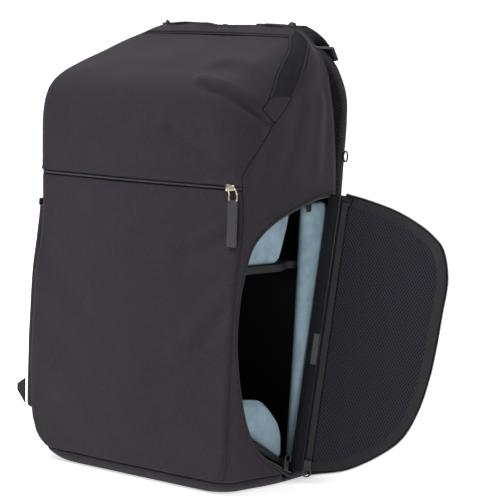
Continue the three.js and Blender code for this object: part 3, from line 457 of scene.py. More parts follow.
# Folds that the empty cloth keeps: points on the cloth, how far it stands out (in where negative), and half
# the width of the fold, all in millimetres.
standing_folds = [
    ([(70, -64, 449), (90, -66, 443), (108, -67, 438), (132, -61, 427), (146, -44, 414)], 4.2, 8),
    ([(80, -74, 442), (100, -76, 434), (118, -73, 427), (130, -69, 421), (142, -61, 413), (152, -38, 401)],
     -6.0, 5),
    ([(50, -88, 389), (99, -88, 362), (125, -87, 351), (148, -80, 341)], -3.4, 7),
    ([(44, -88, 402), (92, -88, 378), (124, -86, 364), (146, -76, 354)], 2.4, 13),
    ([(76, -34, 461), (96, -40, 457), (114, -45, 452), (132, -44, 440)], -2.8, 11),
    ([(60, -30, 470), (84, -22, 470), (112, -28, 464)], 1.8, 12),
    ([(-120, -60, 458), (-70, -40, 474), (-10, -35, 478)], 1.8, 20),
    ([(-140, -80, 430), (-90, -88, 405), (-20, -88, 392)], -2.2, 22),
    ([(152, -91, 300), (118, -92, 284), (90, -94, 268)], 2.0, 9),
    ([(150, -91, 286), (118, -92, 270), (80, -95, 256)], -2.8, 10),
    ([(149, -97, 225), (115, -98, 189), (80, -99, 153)], 2.2, 13),
    ([(148, -97, 208), (112, -98, 168)], -1.8, 12),
    ([(-60, -96, 300), (0, -97, 284), (60, -96, 296)], 1.8, 22),
    ([(-150, -93, 250), (-110, -97, 215), (-70, -98, 190)], -2.0, 18),
    ([(-140, -99, 120), (-60, -102, 96), (20, -102, 110)], 1.6, 24),
    ([(148, 47, 424), (148, 41, 350)], 1.8, 9),
    ([(150, 10, 420), (150, -5, 372), (150, -20, 345)], -1.8, 12),
    ([(150, 60, 430), (150, 56, 350)], -1.4, 9),
    ([(-150, 30, 440), (-152, 10, 380), (-152, -10, 330)], 1.5, 14),
]
ripples = random.Random(7)
ripple_waves = [(ripples.uniform(-1, 1), ripples.uniform(-1, 1), ripples.uniform(0, 6.3)) for _ in range(14)]


def rumple(g, z, length):
    """Smooth uneven waves between about -1 and 1, of roughly the given length."""
    total = sum(np.sin((a * g + b * z) * (2 * math.pi / length) + c) for a, b, c in ripple_waves)
    return total / math.sqrt(len(ripple_waves)) / 1.4


def line_distance(points, line):
    """The distance from each point to the nearest place on a line through several stops."""
    nearest = np.full(len(points), 9.0)
    for a, b in zip(line[:-1], line[1:]):
        run = b - a
        t = np.clip(((points - a) @ run) / (run @ run), 0, 1)
        nearest = np.minimum(nearest, np.linalg.norm(points - a - t[:, None] * run, axis=1))
    return nearest


seam_roll_width, seam_roll_depth = 3.2 * MM, 1.5 * MM


def shell_points(g, z, from_seam):
    """Points of the shell's outer face, with its folds, its slack and the roll along its seams."""
    points, normals = on_form(g, z), outward(g, z)
    stand = rumple(g, z, 70 * MM) * 0.5 * MM
    for line, depth, width in standing_folds:
        away = line_distance(points, np.array(line) * MM) / (width * MM)
        stand += depth * MM * np.exp(-away**2)
    calm = np.clip(from_seam / (16 * MM), 0, 1)
    pucker = rumple(g, z, 12 * MM) * 0.35 * MM * np.exp(-from_seam / (7 * MM))
    edge = np.clip(1 - from_seam / seam_roll_width, 0, 1) ** 2
    return points + normals * (stand * (0.25 + 0.75 * calm) + pucker - edge * seam_roll_depth)[:, None]


def edge_round(away, radius):
    """From 0 at the rim to 1 beyond the rounding."""
    return np.sqrt(np.clip(1 - np.clip(1 - away / radius, 0, 1) ** 2, 0, 1))


def graded(t, count, length, edge=4 * MM, fine=5):
    """Even steps along a length, with a few fine ones over the last millimetres at either end."""
    i = np.asarray(t) * count
    middle = edge + (i - fine) / (count - 2 * fine) * (length - 2 * edge)
    last = length - edge * (count - i) / fine
    return np.where(i < fine, edge * i / fine, np.where(i > count - fine, last, middle)) / length


def shell_fabric():
    """Charcoal melange: dark, mid and purplish threads in a fine plain weave, matt with a faint sheen."""
    cloth = Finish("shell_melange", Specular_IOR_Level=0.12, Sheen_Weight=0.06, Sheen_Roughness=0.45,
                   Sheen_Tint=(0.92, 0.86, 0.95, 1))
    u, v, _ = cloth.parts(cloth.chart())
    thread = 0.62 * MM
    warp = (u * (math.pi / thread)).sine()
    weft = (v * (math.pi / thread)).sine()
    over = (warp * weft) > 0
    weave = over * warp.size() + (1 - over) * weft.size()
    streak_u = cloth.noise(cloth.joined(u * 1500, v * 130), 1.0, 2.0)
    streak_v = cloth.noise(cloth.joined(u * 130 + 40, v * 1500), 1.0, 2.0)
    melange = over * streak_u + (1 - over) * streak_v
    broad = cloth.noise(cloth.chart(), 22.0, 3.0)
    blotch = cloth.noise(cloth.object_point(), 260.0, 2.0)
    light = 0.62
    dark, mid, plum, slate, fleck = (linear(*(c * light for c in colour)) for colour in (
        (40, 38, 45), (72, 63, 74), (70, 52, 68), (50, 52, 62), (82, 77, 86)))
    threads = cloth.blend(((melange - 0.36) * 3.2).clamped(), dark, mid)
    tone = cloth.blend(((broad - 0.35) * 3.0).clamped(), slate, plum)
    mixed = cloth.blend(0.34, threads, tone)
    flecks = cloth.blend(((blotch - 0.5) * 1.6).clamped() * 0.45, mixed, fleck)
    cloth.feed("Base Color", flecks)
    cloth.feed("Roughness", 0.76 + melange * 0.14)
    cloth.relief(weave * 0.7 + melange * 0.5, 0.12 * MM)
    return cloth.material


def lining_fabric():
    """Black coated nylon on the inner face of every panel."""
    cloth = Finish("lining_nylon", Roughness=0.6, Specular_IOR_Level=0.35)
    u, v, _ = cloth.parts(cloth.chart())
    grid = u.ribs(0.5 * MM) * v.ribs(0.5 * MM)
    tone = cloth.noise(cloth.object_point(), 60.0, 3.0)
    cloth.feed("Base Color", cloth.blend(tone, linear(12, 12, 14), linear(24, 24, 27)))
    cloth.relief(grid, 0.08 * MM)
    return cloth.material


shell_cloth = shell_fabric()
lining_cloth = lining_fabric()


def thicken(piece, wall):
    """Gives a one-sided skin its wall, inwards, with the lining on the inside."""
    made = piece.modifiers.new("wall", "SOLIDIFY")
    made.thickness, made.offset = wall, -1
    made.use_even_offset = False
    made.material_offset = 1
    made.use_quality_normals = True


def settle(piece, node, slot, *finishes):
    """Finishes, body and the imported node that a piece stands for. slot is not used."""
    for finish in finishes:
        piece.data.materials.append(finish)
    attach(piece, "root")
    if node:
        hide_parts(node)


def sewn(name, mesh, wall, packed=True):
    """A shell panel with its wall and lining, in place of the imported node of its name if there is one."""
    piece = place(f"{name}_cloth", mesh)
    thicken(piece, wall)
    settle(piece, name if packed else None, "shell_fabric", shell_cloth, lining_cloth)


base_seam, zip_line, zip_half = 14.2 * MM, 332 * MM, 3.5 * MM
panel_gap = 0.4 * MM


def chart_of(g, z):
    return np.stack([g, z], 1)


def front_shape(s, t):
    low, high = base_seam + panel_gap / 2, zip_line - zip_half
    z = low + (high - low) * graded(t, 130, high - low)
    left, right_edge = -girth_of("front", z, -1), girth_of("front", z, 1)
    g = left + (right_edge - left) * graded(s, 124, 0.31)
    from_seam = np.minimum(np.minimum(g - left, right_edge - g), np.minimum(z - low, high - z))
    return shell_points(g, z, from_seam), chart_of(g, z)


sewn("front_panel", grid_mesh(124, 130, front_shape), 2.4 * MM)

lid_low, lid_hood = zip_line + zip_half - 1.2 * MM, 1.4 * MM
lid_cut = levels[np.nonzero((levels > 0.44) & (lid_seam(levels) <= front_line))[0][0]]


def lid_shape(s, t):
    rise = graded(t, 110, 0.24)
    z = lid_low + (lid_cut - lid_low) * rise
    left, right_edge = -girth_of("lid", z, -1), girth_of("lid", z, 1)
    g = left + (right_edge - left) * graded(s, 124, 0.30)
    from_seam = np.minimum(np.minimum(g - left, right_edge - g), (lid_cut - z) * 2)
    points = shell_points(g, z, from_seam)
    hood = np.clip(1 - (z - lid_low) / (7 * MM), 0, 1) ** 1.5 * lid_hood
    return points + outward(g, z) * hood[:, None], chart_of(g, z)


sewn("top_panel", grid_mesh(124, 110, lid_shape), 2.2 * MM)

# Opening in the right side
# The hinge line lies behind it. Each row of its outline is a share of the way up the hinge and a share of
# the reach forwards from it. Both sides are cut here, the right one round the opening.
opening_table = np.array([
    [0.000, 0.000], [0.003, 0.082], [0.025, 0.253], [0.048, 0.425], [0.096, 0.589], [0.161, 0.712],
    [0.239, 0.808], [0.342, 0.904], [0.447, 0.973], [0.559, 1.000], [0.640, 0.993], [0.745, 0.952],
    [0.814, 0.842], [0.873, 0.678], [0.925, 0.459], [0.969, 0.233], [1.000, 0.000],
])
opening_height, opening_reach = 322 * MM, 138 * MM
hinge_lean = math.radians(10)
hinge_foot = np.array([half_width + side_crown + 0.6 * MM, 18 * MM, 7 * MM])
hinge_up = np.array([0, math.sin(hinge_lean), math.cos(hinge_lean)])
hinge_out = np.array([0, -math.cos(hinge_lean), math.sin(hinge_lean)])


def through(stops, count):
    """An even smooth line through two or more stops of a plan or of space."""
    stops = np.asarray(stops, float)
    padded = np.concatenate([2 * stops[:1] - stops[1:2], stops, 2 * stops[-1:] - stops[-2:-1]])
    line = []
    for i in range(len(stops) - 1):
        a, b, c, d = padded[i:i + 4]
        t = np.linspace(0, 1, 24, endpoint=i == len(stops) - 2)[:, None]
        line.append(0.5 * (2 * b + (c - a) * t + (2 * a - 5 * b + 4 * c - d) * t**2
                           + (3 * b - a - 3 * c + d) * t**3))
    line = np.concatenate(line)
    run = np.concatenate([[0], np.cumsum(np.linalg.norm(np.diff(line, axis=0), axis=1))])
    even = np.linspace(0, run[-1], count)
    return np.stack([np.interp(even, run, line[:, k]) for k in range(line.shape[1])], 1)


def on_side(along, out):
    """Depth and height of a place counted up the hinge and forwards from it."""
    return hinge_foot[1:] + np.outer(along, hinge_up[1:]) + np.outer(out, hinge_out[1:])


opening_line = through(opening_table * (opening_height, opening_reach), 90)
opening_plan = on_side(*opening_line.T)
opening_apex = opening_plan[-1, 1]


def girth_where(depths, z, side=1):
    """How far round the form it lies at depths y and heights z."""
    found = np.zeros(len(z))
    rows = np.clip(z / level_step, 0, len(levels) - 1.001)
    low = rows.astype(int)
    for n, (y, i, part) in enumerate(zip(depths, low, rows - low)):
        line = form[side][i, :, 1] * (1 - part) + form[side][i + 1, :, 1] * part
        last = np.argmax(line >= line.max() - 0.01 * MM)
        found[n] = np.interp(y, line[:last + 1], girths[:last + 1])
    return found


opening_rows = opening_plan[opening_plan[:, 1] > base_seam + panel_gap / 2]
opening_rows = np.concatenate([[[np.interp(base_seam + panel_gap / 2, opening_plan[:, 1], opening_plan[:, 0]),
                                 base_seam + panel_gap / 2]], opening_rows])
opening_girths = girth_where(opening_rows[:, 0], opening_rows[:, 1])
hinge_depth = hinge_foot[1] + (opening_rows[:, 1] - hinge_foot[2]) * math.tan(hinge_lean)
hinge_girths = girth_where(hinge_depth, opening_rows[:, 1])
side_top = 501.5 * MM


def front_edge(z, side):
    """The side's front seam, and above the front zip its seam behind the top zip."""
    return np.where(z < zip_line, girth_of("front", z, side), girth_of("zip", z, side))


def side_seam_distance(g, z, side):
    here = np.abs(g)
    across = np.minimum(here - front_edge(z, side), girth_of("rear", z, side) - here)
    return np.maximum(np.minimum(across, z - base_seam), 0)


def side_patch(side, rows, left_line, right_line, columns, fine_left=True):
    """A part of a side between two lines round the form, at given heights."""
    def shape(s, t):
        z = np.interp(t, np.linspace(0, 1, len(rows)), rows)
        a, b = left_line(z), right_line(z)
        g = a + (b - a) * (graded(s, columns, 0.16) if fine_left else s)
        signed = side * g
        return shell_points(signed, z, side_seam_distance(signed, z, side)), chart_of(signed, z)
    return grid_mesh(columns, len(rows) - 1, shape)


def stitched(meshes, flip=False):
    """One bmesh of several patches that share edges."""
    whole = bmesh.new()
    for mesh in meshes:
        held = bpy.data.meshes.new("patch")
        mesh.to_mesh(held)
        mesh.free()
        whole.from_mesh(held)
        bpy.data.meshes.remove(held)
    bmesh.ops.remove_doubles(whole, verts=whole.verts, dist=0.05 * MM)
    if flip:
        bmesh.ops.reverse_faces(whole, faces=whole.faces)
    return whole


rear_of_opening = girth_of("rear", np.array([opening_apex]), 1)[0] - opening_girths[-1]


def near_rear(z):
    """A line beside the rear seam that meets the opening's topmost point."""
    return girth_of("rear", z, 1) - rear_of_opening


upper_rows = np.arange(opening_apex + 2.5 * MM, side_top, 2.6 * MM)
upper_rows = np.concatenate([[opening_apex], upper_rows, [side_top]])
right_side = stitched([
    side_patch(1, opening_rows[:, 1], lambda z: front_edge(z, 1),
               lambda z: np.interp(z, opening_rows[:, 1], opening_girths), 64),
    side_patch(1, opening_rows[:, 1], lambda z: np.interp(z, opening_rows[:, 1], hinge_girths),
               lambda z: girth_of("rear", z, 1), 16),
    side_patch(1, upper_rows, lambda z: front_edge(z, 1), near_rear, 64),
    side_patch(1, upper_rows, near_rear, lambda z: girth_of("rear", z, 1), 4, False),
])
sewn("side_panel_right", right_side, 5 * MM)
left_rows = np.arange(base_seam + panel_gap / 2, side_top, 2.8 * MM)
left_side = stitched([side_patch(-1, left_rows, lambda z: front_edge(z, -1),
                                 lambda z: girth_of("rear", z, -1), 64)], flip=True)
sewn("side_panel_left", left_side, 5 * MM)

# Back of the shell: the panel that lies against the wearer, turned over the rear edge at the top
back_rows, cap_rows = 150, 6
cap_depth = 59.6 * MM


def back_shape(s, t):
    row = t * (back_rows + cap_rows)
    z = base_seam + (body_height - base_seam) * graded(np.clip(row / back_rows, 0, 1), back_rows, 0.49)
    over = np.clip((row - back_rows) / cap_rows, 0, 1)
    half = graded(s, 120, 0.34)
    start = np.where(half < 0.5, girth_of("rear", z, 1), girth_of("rear", z, -1))
    middle = np.where(half < 0.5, *(np.interp(z, levels, half_perimeters[hand]) for hand in (1, -1)))
    share = 1 - np.abs(1 - 2 * half)
    g = np.where(half <= 0.5, 1, -1) * (start + (middle - start) * share)
    from_seam = np.minimum(np.abs(g) - start, z - base_seam)
    points = shell_points(g, z, np.maximum(from_seam, 0))
    lip = 4 * MM
    rise = np.clip(z - (body_height - lip), 0, lip)
    points[:, 1] -= lip - np.sqrt(np.maximum(lip**2 - rise**2, 0))
    points[:, 1] = np.where(over > 0, points[:, 1] + (cap_depth - points[:, 1]) * over, points[:, 1])
    chart = np.stack([g, z + over * 9 * MM], 1)
    return points, chart


sewn("back_shell", grid_mesh(120, back_rows + cap_rows, back_shape), 6 * MM)


# Base: one piece that turns under the bag and closes flat on the floor
base_turns, base_rise, base_under = 190, 8, 14


def base_shape(s, t):
    row = t * (base_rise + base_under)
    z = base_seam - panel_gap / 2 - np.clip(row / base_rise, 0, 1) * (base_seam - panel_gap / 2)
    under = np.clip((row - base_rise) / base_under, 0, 1)
    lap = 2 * s
    near_side = np.interp(z, levels, half_perimeters[1])
    far_side = np.interp(z, levels, half_perimeters[-1])
    g = np.where(s <= 0.5, lap * near_side, -(2 - lap) * far_side)
    points = shell_points(g, z, np.maximum(base_seam - z, 0))
    points[:, 2] = np.maximum(points[:, 2], 0)
    middle = np.array([0.006, -0.004, 0])
    inner = middle + (points - middle) * (1 - under * 0.96)[:, None]
    inner[:, 2] = np.where(under > 0, 0.0, points[:, 2])
    return inner, np.stack([points[:, 0] * (1 - under), points[:, 1] * (1 - under) + z], 1)


base_mesh = grid_mesh(base_turns, base_rise + base_under, base_shape, closed=True)
rim = [e for e in base_mesh.edges if e.is_boundary and sum(v.co.z for v in e.verts) < 1 * MM]
bmesh.ops.edgeloop_fill(base_mesh, edges=rim)
bmesh.ops.recalc_face_normals(base_mesh, faces=base_mesh.faces)
notch = [f for f in base_mesh.faces
         if f.calc_center_median().x > 0.12 and f.calc_center_median().z > 7 * MM
         and -1 * MM < f.calc_center_median().y < 19 * MM]
bmesh.ops.delete(base_mesh, geom=notch, context="FACES")
sewn("base_panel", base_mesh, 4 * MM)


# Yoke: the narrow strip along the top between the zip and the back
def yoke_shape(s, t):
    x = (2 * s - 1) * 95.5 * MM
    across = 2 * t - 1
    y = 56.2 * MM + across * 3.2 * MM
    z = body_height - 0.6 * MM + (1 - across**4) * 0.5 * MM - (np.abs(2 * s - 1) ** 12) * 2.6 * MM
    return np.stack([x, y, z], 1), np.stack([x, y], 1)


sewn("top_yoke", grid_mesh(60, 8, yoke_shape), 2.4 * MM)

# Top zip
# A coil zip on a black tape runs up the right side from a fabric garage, across the rear of the lid and down
# the left side to another. Black bindings finish the cut edges of the cloth on both sides of the tape.
garage_top = 0.849 * body_height
zip_cut = levels[np.nonzero((levels > 0.47) & (zip_rear(levels) <= front_line))[0][0]]
leg_steps, top_steps = 60, 90


def band_edge(name, limit):
    """One edge of the zip band, from the right garage over the top to the left one, as girth and height."""
    z = garage_top + (limit - garage_top) * np.linspace(0, 1, leg_steps)
    right_leg = np.stack([girth_of(name, z, 1), z], 1)
    left_leg = np.stack([-girth_of(name, z, -1), z], 1)[::-1]
    share = np.linspace(0, 1, top_steps)[1:-1, None]
    return np.concatenate([right_leg, right_leg[-1] + (left_leg[0] - right_leg[-1]) * share, left_leg])


lid_edge, rear_edge = band_edge("lid", lid_cut), band_edge("zip", zip_cut)
band_steps = len(lid_edge)


def on_band(s, t):
    """Girth and height on the band: s along it, t across it from the lid to the rear."""
    stops = np.linspace(0, 1, band_steps)
    near = [np.interp(s, stops, lid_edge[:, k]) for k in (0, 1)]
    far = [np.interp(s, stops, rear_edge[:, k]) for k in (0, 1)]
    return near[0] + (far[0] - near[0]) * t, near[1] + (far[1] - near[1]) * t


def zip_tape_finish():
    """Black polyester tape with fine ribs that run along it."""
    tape = Finish("zip_tape", Roughness=0.72, Specular_IOR_Level=0.15)
    u, v, _ = tape.parts(tape.chart())
    ribs = v.ribs(0.55 * MM)
    knit = u.ribs(0.8 * MM)
    tone = tape.noise(tape.object_point(), 140.0)
    tape.feed("Base Color", tape.blend(tone * 0.6 + ribs * 0.3, linear(9, 9, 11), linear(26, 26, 30)))
    tape.relief(ribs + knit * 0.4, 0.16 * MM)
    return tape.material


def coil_finish():
    """Black polyester monofilament, slightly glossy."""
    coil = Finish("zip_coil", Specular_IOR_Level=0.6)
    tone = coil.noise(coil.object_point(), 900.0)
    coil.feed("Base Color", coil.blend(tone, linear(24, 23, 26), linear(58, 56, 60)))
    coil.feed("Roughness", 0.22 + tone * 0.2)
    return coil.material


tape_finish, coil_material = zip_tape_finish(), coil_finish()
tape_depth = 1.3 * MM


def top_tape_shape(s, t):
    g, z = on_band(s, t * 1.06 - 0.03)
    hump = np.exp(-((t - 0.36) / 0.1) ** 2) * 0.5 * MM
    sunk = tape_depth * (0.6 + 0.4 * np.sin(np.clip(t, 0, 1) * math.pi)) - hump
    return on_form(g, z) - outward(g, z) * sunk[:, None], np.stack([s * 0.62, t * 17 * MM], 1)


top_tape = place("top_zip_tape_woven", grid_mesh(260, 12, top_tape_shape))
thicken(top_tape, 1.2 * MM)
settle(top_tape, "top_zip_tape", "zip_tape", tape_finish, tape_finish)


def cover_shape(s, t):
    """The fold of shell cloth that hides the zip where it runs across the top."""
    near, far = leg_steps * 0.93 / band_steps, 1 - leg_steps * 0.93 / band_steps
    along = far + (near - far) * s
    g, z = on_band(along, 0.12 + t * 0.98)
    end = np.clip(np.minimum(s, 1 - s) / 0.03, 0, 1)
    stand = 1.5 * MM * edge_round(t * 15 * MM, 1.6 * MM) * (0.4 + 0.6 * end)
    stand = stand + 0.25 * MM * np.sin(s * 37 + t * 2)
    return on_form(g, z) + outward(g, z) * stand[:, None], np.stack([g, z], 1)


sewn("top_zip_cover", grid_mesh(160, 12, cover_shape), 1.3 * MM, packed=False)


def repeated(template, matrices):
    """One bmesh of many copies of a small shape."""
    held = bpy.data.meshes.new("copy")
    template.to_mesh(held)
    template.free()
    whole = bmesh.new()
    for matrix in matrices:
        copy = held.copy()
        copy.transform(matrix)
        whole.from_mesh(copy)
        bpy.data.meshes.remove(copy)
    bpy.data.meshes.remove(held)
    return whole


def seat_frames(points, normals, pitch, lift=0.0):
    """Places at an even pitch along a line on a surface: x across it, y along it, z out of the surface."""
    run = np.concatenate([[0], np.cumsum(np.linalg.norm(np.diff(points, axis=0), axis=1))])
    frames = []
    for at in np.arange(pitch / 2, run[-1], pitch):
        p = Vector([np.interp(at, run, points[:, k]) for k in range(3)])
        n = Vector([np.interp(at, run, normals[:, k]) for k in range(3)]).normalized()
        i = min(np.searchsorted(run, at), len(points) - 1)
        along = Vector(points[i] - points[i - 1]).normalized()
        across = along.cross(n).normalized()
        n = across.cross(along)
        frames.append(Matrix.Translation(p + n * lift) @ Matrix((across, along, n)).transposed().to_4x4())
    return frames


def coil_turn(width, length, height):
    """One turn of a zip coil: a short rounded bar across the tape."""
    bar = bmesh.new()
    bmesh.ops.create_cube(bar, size=1)
    bmesh.ops.scale(bar, vec=(width, length, height), verts=bar.verts)
    bmesh.ops.bevel(bar, geom=bar.edges[:], offset=length * 0.32, affect="EDGES", segments=1, profile=0.5,
                    material=-1)
    for face in bar.faces:
        face.smooth = True
    return bar


band_run = np.linspace(0.003, 0.997, 400)
coil_g, coil_z = on_band(band_run, np.full(400, 0.36))
coil_points, coil_normals = on_form(coil_g, coil_z), outward(coil_g, coil_z)
top_coil = place("top_zip_coil", repeated(coil_turn(3.4 * MM, 0.9 * MM, 1.1 * MM),
                                          seat_frames(coil_points, coil_normals, 1.35 * MM, -0.7 * MM)))
settle(top_coil, None, "zip_tape", coil_material)


def rounded_section(width, depth, radius, count=5):
    """Outline of a rounded bar, counter-clockwise, width along the first axis."""
    corners = []
    for k, (a, b) in enumerate(((1, -1), (1, 1), (-1, 1), (-1, -1))):
        turn = np.linspace(0, math.pi / 2, count) + (k - 1) * math.pi / 2
        centre = np.array([a * (width / 2 - radius), b * (depth / 2 - radius)])
        corners.append(centre + radius * np.stack([np.cos(turn), np.sin(turn)], 1))
    return np.concatenate(corners)


def swept(path, side_axes, section, scales=None, looped=False):
    """A solid of one section along a path. side_axes point along the section's width."""
    path, side_axes = np.asarray(path, float), np.asarray(side_axes, float)
    if looped:
        path, side_axes = np.concatenate([path, path[:1]]), np.concatenate([side_axes, side_axes[:1]])
        before = np.concatenate([path[-2:-1], path[:-1]])
        after = np.concatenate([path[1:], path[1:2]])
    else:
        before, after = np.concatenate([path[:1], path[:-1]]), np.concatenate([path[1:], path[-1:]])
    along = after - before
    along /= np.linalg.norm(along, axis=1)[:, None]
    side_axes = side_axes - along * np.sum(side_axes * along, axis=1)[:, None]
    side_axes /= np.linalg.norm(side_axes, axis=1)[:, None]
    lift = np.cross(along, side_axes)
    sizes = np.ones((len(path), 2)) if scales is None else np.broadcast_to(scales, (len(path), 2))
    ring = np.concatenate([section, section[:1]])
    around = np.concatenate([[0], np.cumsum(np.linalg.norm(np.diff(ring, axis=0), axis=1))])
    run = np.concatenate([[0], np.cumsum(np.linalg.norm(np.diff(path, axis=0), axis=1))])

    def shape(s, t):
        i = np.rint(s * (len(path) - 1)).astype(int)
        k = np.rint(t * (len(ring) - 1)).astype(int)
        offset = side_axes[i] * (ring[k, :1] * sizes[i, :1]) + lift[i] * (ring[k, 1:] * sizes[i, 1:])
        return path[i] + offset, np.stack([run[i], around[k]], 1)

    mesh = grid_mesh(len(path) - 1, len(ring) - 1, shape, closed=True)
    if not looped:
        rims = [e for e in mesh.edges if e.is_boundary]
        bmesh.ops.holes_fill(mesh, edges=rims, sides=0)
    bmesh.ops.recalc_face_normals(mesh, faces=mesh.faces)
    return mesh


def along_form(edge, lift=0.0):
    """Points and outward directions along a line on the form, given as girths and heights."""
    normals = outward(edge[:, 0], edge[:, 1])
    return on_form(edge[:, 0], edge[:, 1]) + normals * lift, normals


def binding_finish():
    """Black grosgrain: close ribs across a narrow tape."""
    tape = Finish("binding_grosgrain", Roughness=0.62, Specular_IOR_Level=0.2)
    u, v, _ = tape.parts(tape.chart())
    ribs = u.ribs(0.9 * MM)
    tone = tape.noise(tape.object_point(), 180.0)
    tape.feed("Base Color", tape.blend(tone * 0.5 + ribs * 0.4, linear(12, 12, 13), linear(38, 37, 41)))
    tape.relief(ribs, 0.2 * MM)
    return tape.material


binding_material = binding_finish()
for edge_name, edge, lift in (("lid", lid_edge, 0.2 * MM), ("rear", rear_edge, 0.5 * MM)):
    line, normals = along_form(through(edge, 260), lift=lift)
    side_axis = np.cross(np.gradient(line, axis=0), normals)
    bead = place(f"top_zip_binding_{edge_name}",
                 swept(line, side_axis, rounded_section(2.0 * MM, 1.6 * MM, 0.7 * MM, 4)))
    settle(bead, None, "binding", binding_material)

# Garages: the folded cloth kites that cover the lower ends of the top zip
garage_low = lid_seam_table[3, 0] * body_height
for hand, side, node in (("right", 1, "zip_garage_right"), ("left", -1, "zip_garage_left")):
    def garage_shape(s, t):
        z = garage_low + 0.5 * MM + (garage_top + 1.5 * MM - garage_low) * t
        a, b = girth_of("lid", z, side), girth_of("zip", z, side)
        g = side * (a + (b - a) * s)
        edge = np.minimum(np.minimum(s, 1 - s) * np.maximum(b - a, 0.1 * MM), (1 - t) * 30 * MM)
        stand = 0.5 * MM - 1.4 * MM * np.clip(1 - edge / (2.5 * MM), 0, 1) ** 2
        return on_form(g, z) + outward(g, z) * stand[:, None], np.stack([g, z], 1)
    sewn(node, stitched([grid_mesh(16, 26, garage_shape)], flip=side < 0), 2 * MM)

# Front zip
# A reverse coil zip across the front, under a small hood that the lid's lower edge forms. Its ends run into
# the side seams.
front_reach = {side: girth_of("front", np.array([zip_line]), side)[0] for side in (-1, 1)}


def front_tape_shape(s, t):
    g = -front_reach[-1] + (front_reach[1] + front_reach[-1]) * s
    z = zip_line + (2 * t - 1) * zip_half * 1.25
    return on_form(g, z) - outward(g, z) * (2.2 * MM), np.stack([g, z], 1)


front_tape = place("front_zip_tape_woven", grid_mesh(90, 4, front_tape_shape))
thicken(front_tape, 1 * MM)
settle(front_tape, "front_zip_tape", "zip_tape", tape_finish, tape_finish)
front_run = np.linspace(-front_reach[-1], front_reach[1], 200)
front_points, front_normals = along_form(np.stack([front_run, np.full(200, zip_line - 0.4 * MM)], 1),
                                         lift=-1.5 * MM)
front_coil = place("front_zip_coil", repeated(coil_turn(3.0 * MM, 0.9 * MM, 1.1 * MM),
                                              seat_frames(front_points, front_normals, 1.35 * MM)))
settle(front_coil, None, "zip_tape", coil_material)

# Front zip slider with its wire bail and rubber pull
# A cast nickel slider runs on the front zip near the right edge. A bent wire bail hangs from its bridge, and
# a matt rubber pull is moulded over the bail's lower end. The pull is bare.


def worn_metal(name, base, edge, roughness):
    """Cast or drawn metal with fine brushing and darker handled patches."""
    metal = Finish(name, Metallic=1.0, Specular_IOR_Level=0.5)
    patch = metal.noise(metal.object_point(), 420.0, 3.0)
    fine = metal.noise(metal.object_point(), 2600.0)
    metal.feed("Base Color", metal.blend(((patch - 0.35) * 2.2).clamped(), base, edge))
    metal.feed("Roughness", roughness + patch * 0.22)
    metal.relief(fine, 0.02 * MM)
    return metal.material


def moulded(name, dark, pale, roughness):
    """Moulded rubber or plastic with a fine grain."""
    made = Finish(name, Specular_IOR_Level=0.4)
    fine = made.noise(made.object_point(), 1400.0)
    broad = made.noise(made.object_point(), 60.0, 3.0)
    made.feed("Base Color", made.blend(broad, dark, pale))
    made.feed("Roughness", roughness + fine * 0.15)
    made.relief(fine, 0.03 * MM)
    return made.material


nickel = worn_metal("zip_nickel", linear(150, 140, 122), linear(205, 198, 184), 0.22)
pull_rubber = moulded("pull_rubber", linear(30, 30, 33), linear(42, 41, 45), 0.5)
slider_low, slider_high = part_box("front_zip_slider")
slider_middle = (slider_low + slider_high) / 2
slider_mesh = bmesh.new()
bmesh.ops.create_cube(slider_mesh, size=1)
bmesh.ops.scale(slider_mesh, vec=(12 * MM, 3.2 * MM, 7.6 * MM), verts=slider_mesh.verts)
long_edges = [e for e in slider_mesh.edges if abs(e.verts[0].co.x - e.verts[1].co.x) > 1e-6]
bmesh.ops.subdivide_edges(slider_mesh, edges=long_edges, cuts=4, use_grid_fill=True)
for vertex in slider_mesh.verts:
    nose = (vertex.co.x / (6 * MM) + 1) / 2
    vertex.co.z *= 1 - 0.32 * nose**2
sharp_edges = [e for e in slider_mesh.edges if e.calc_face_angle(0) > 0.6]
bmesh.ops.bevel(slider_mesh, geom=sharp_edges, offset=0.9 * MM, affect="EDGES", segments=3, profile=0.5,
                material=-1)
bmesh.ops.translate(slider_mesh, vec=(slider_middle.x, slider_low.y + 4.6 * MM, slider_middle.z),
                    verts=slider_mesh.verts)
turns = np.linspace(math.pi * 0.04, math.pi * 0.96, 14)
bridge_path = np.stack([slider_middle.x + 4.4 * MM * np.cos(turns),
                        slider_low.y + 3.4 * MM - 2.6 * MM * np.sin(turns), np.full(14, slider_middle.z)], 1)
bridge = swept(bridge_path, np.tile((0, 0, 1.0), (14, 1)), rounded_section(3.2 * MM, 1.1 * MM, 0.5 * MM, 4))
slider_piece = place("front_zip_slider_body", stitched([slider_mesh, bridge]))
for face in slider_piece.data.polygons:
    face.use_smooth = True
settle(slider_piece, "front_zip_slider", "zip_slider", nickel)


def round_section(radius, count=12):
    turn = np.linspace(0, 2 * math.pi, count, endpoint=False)
    return radius * np.stack([np.cos(turn), np.sin(turn)], 1)


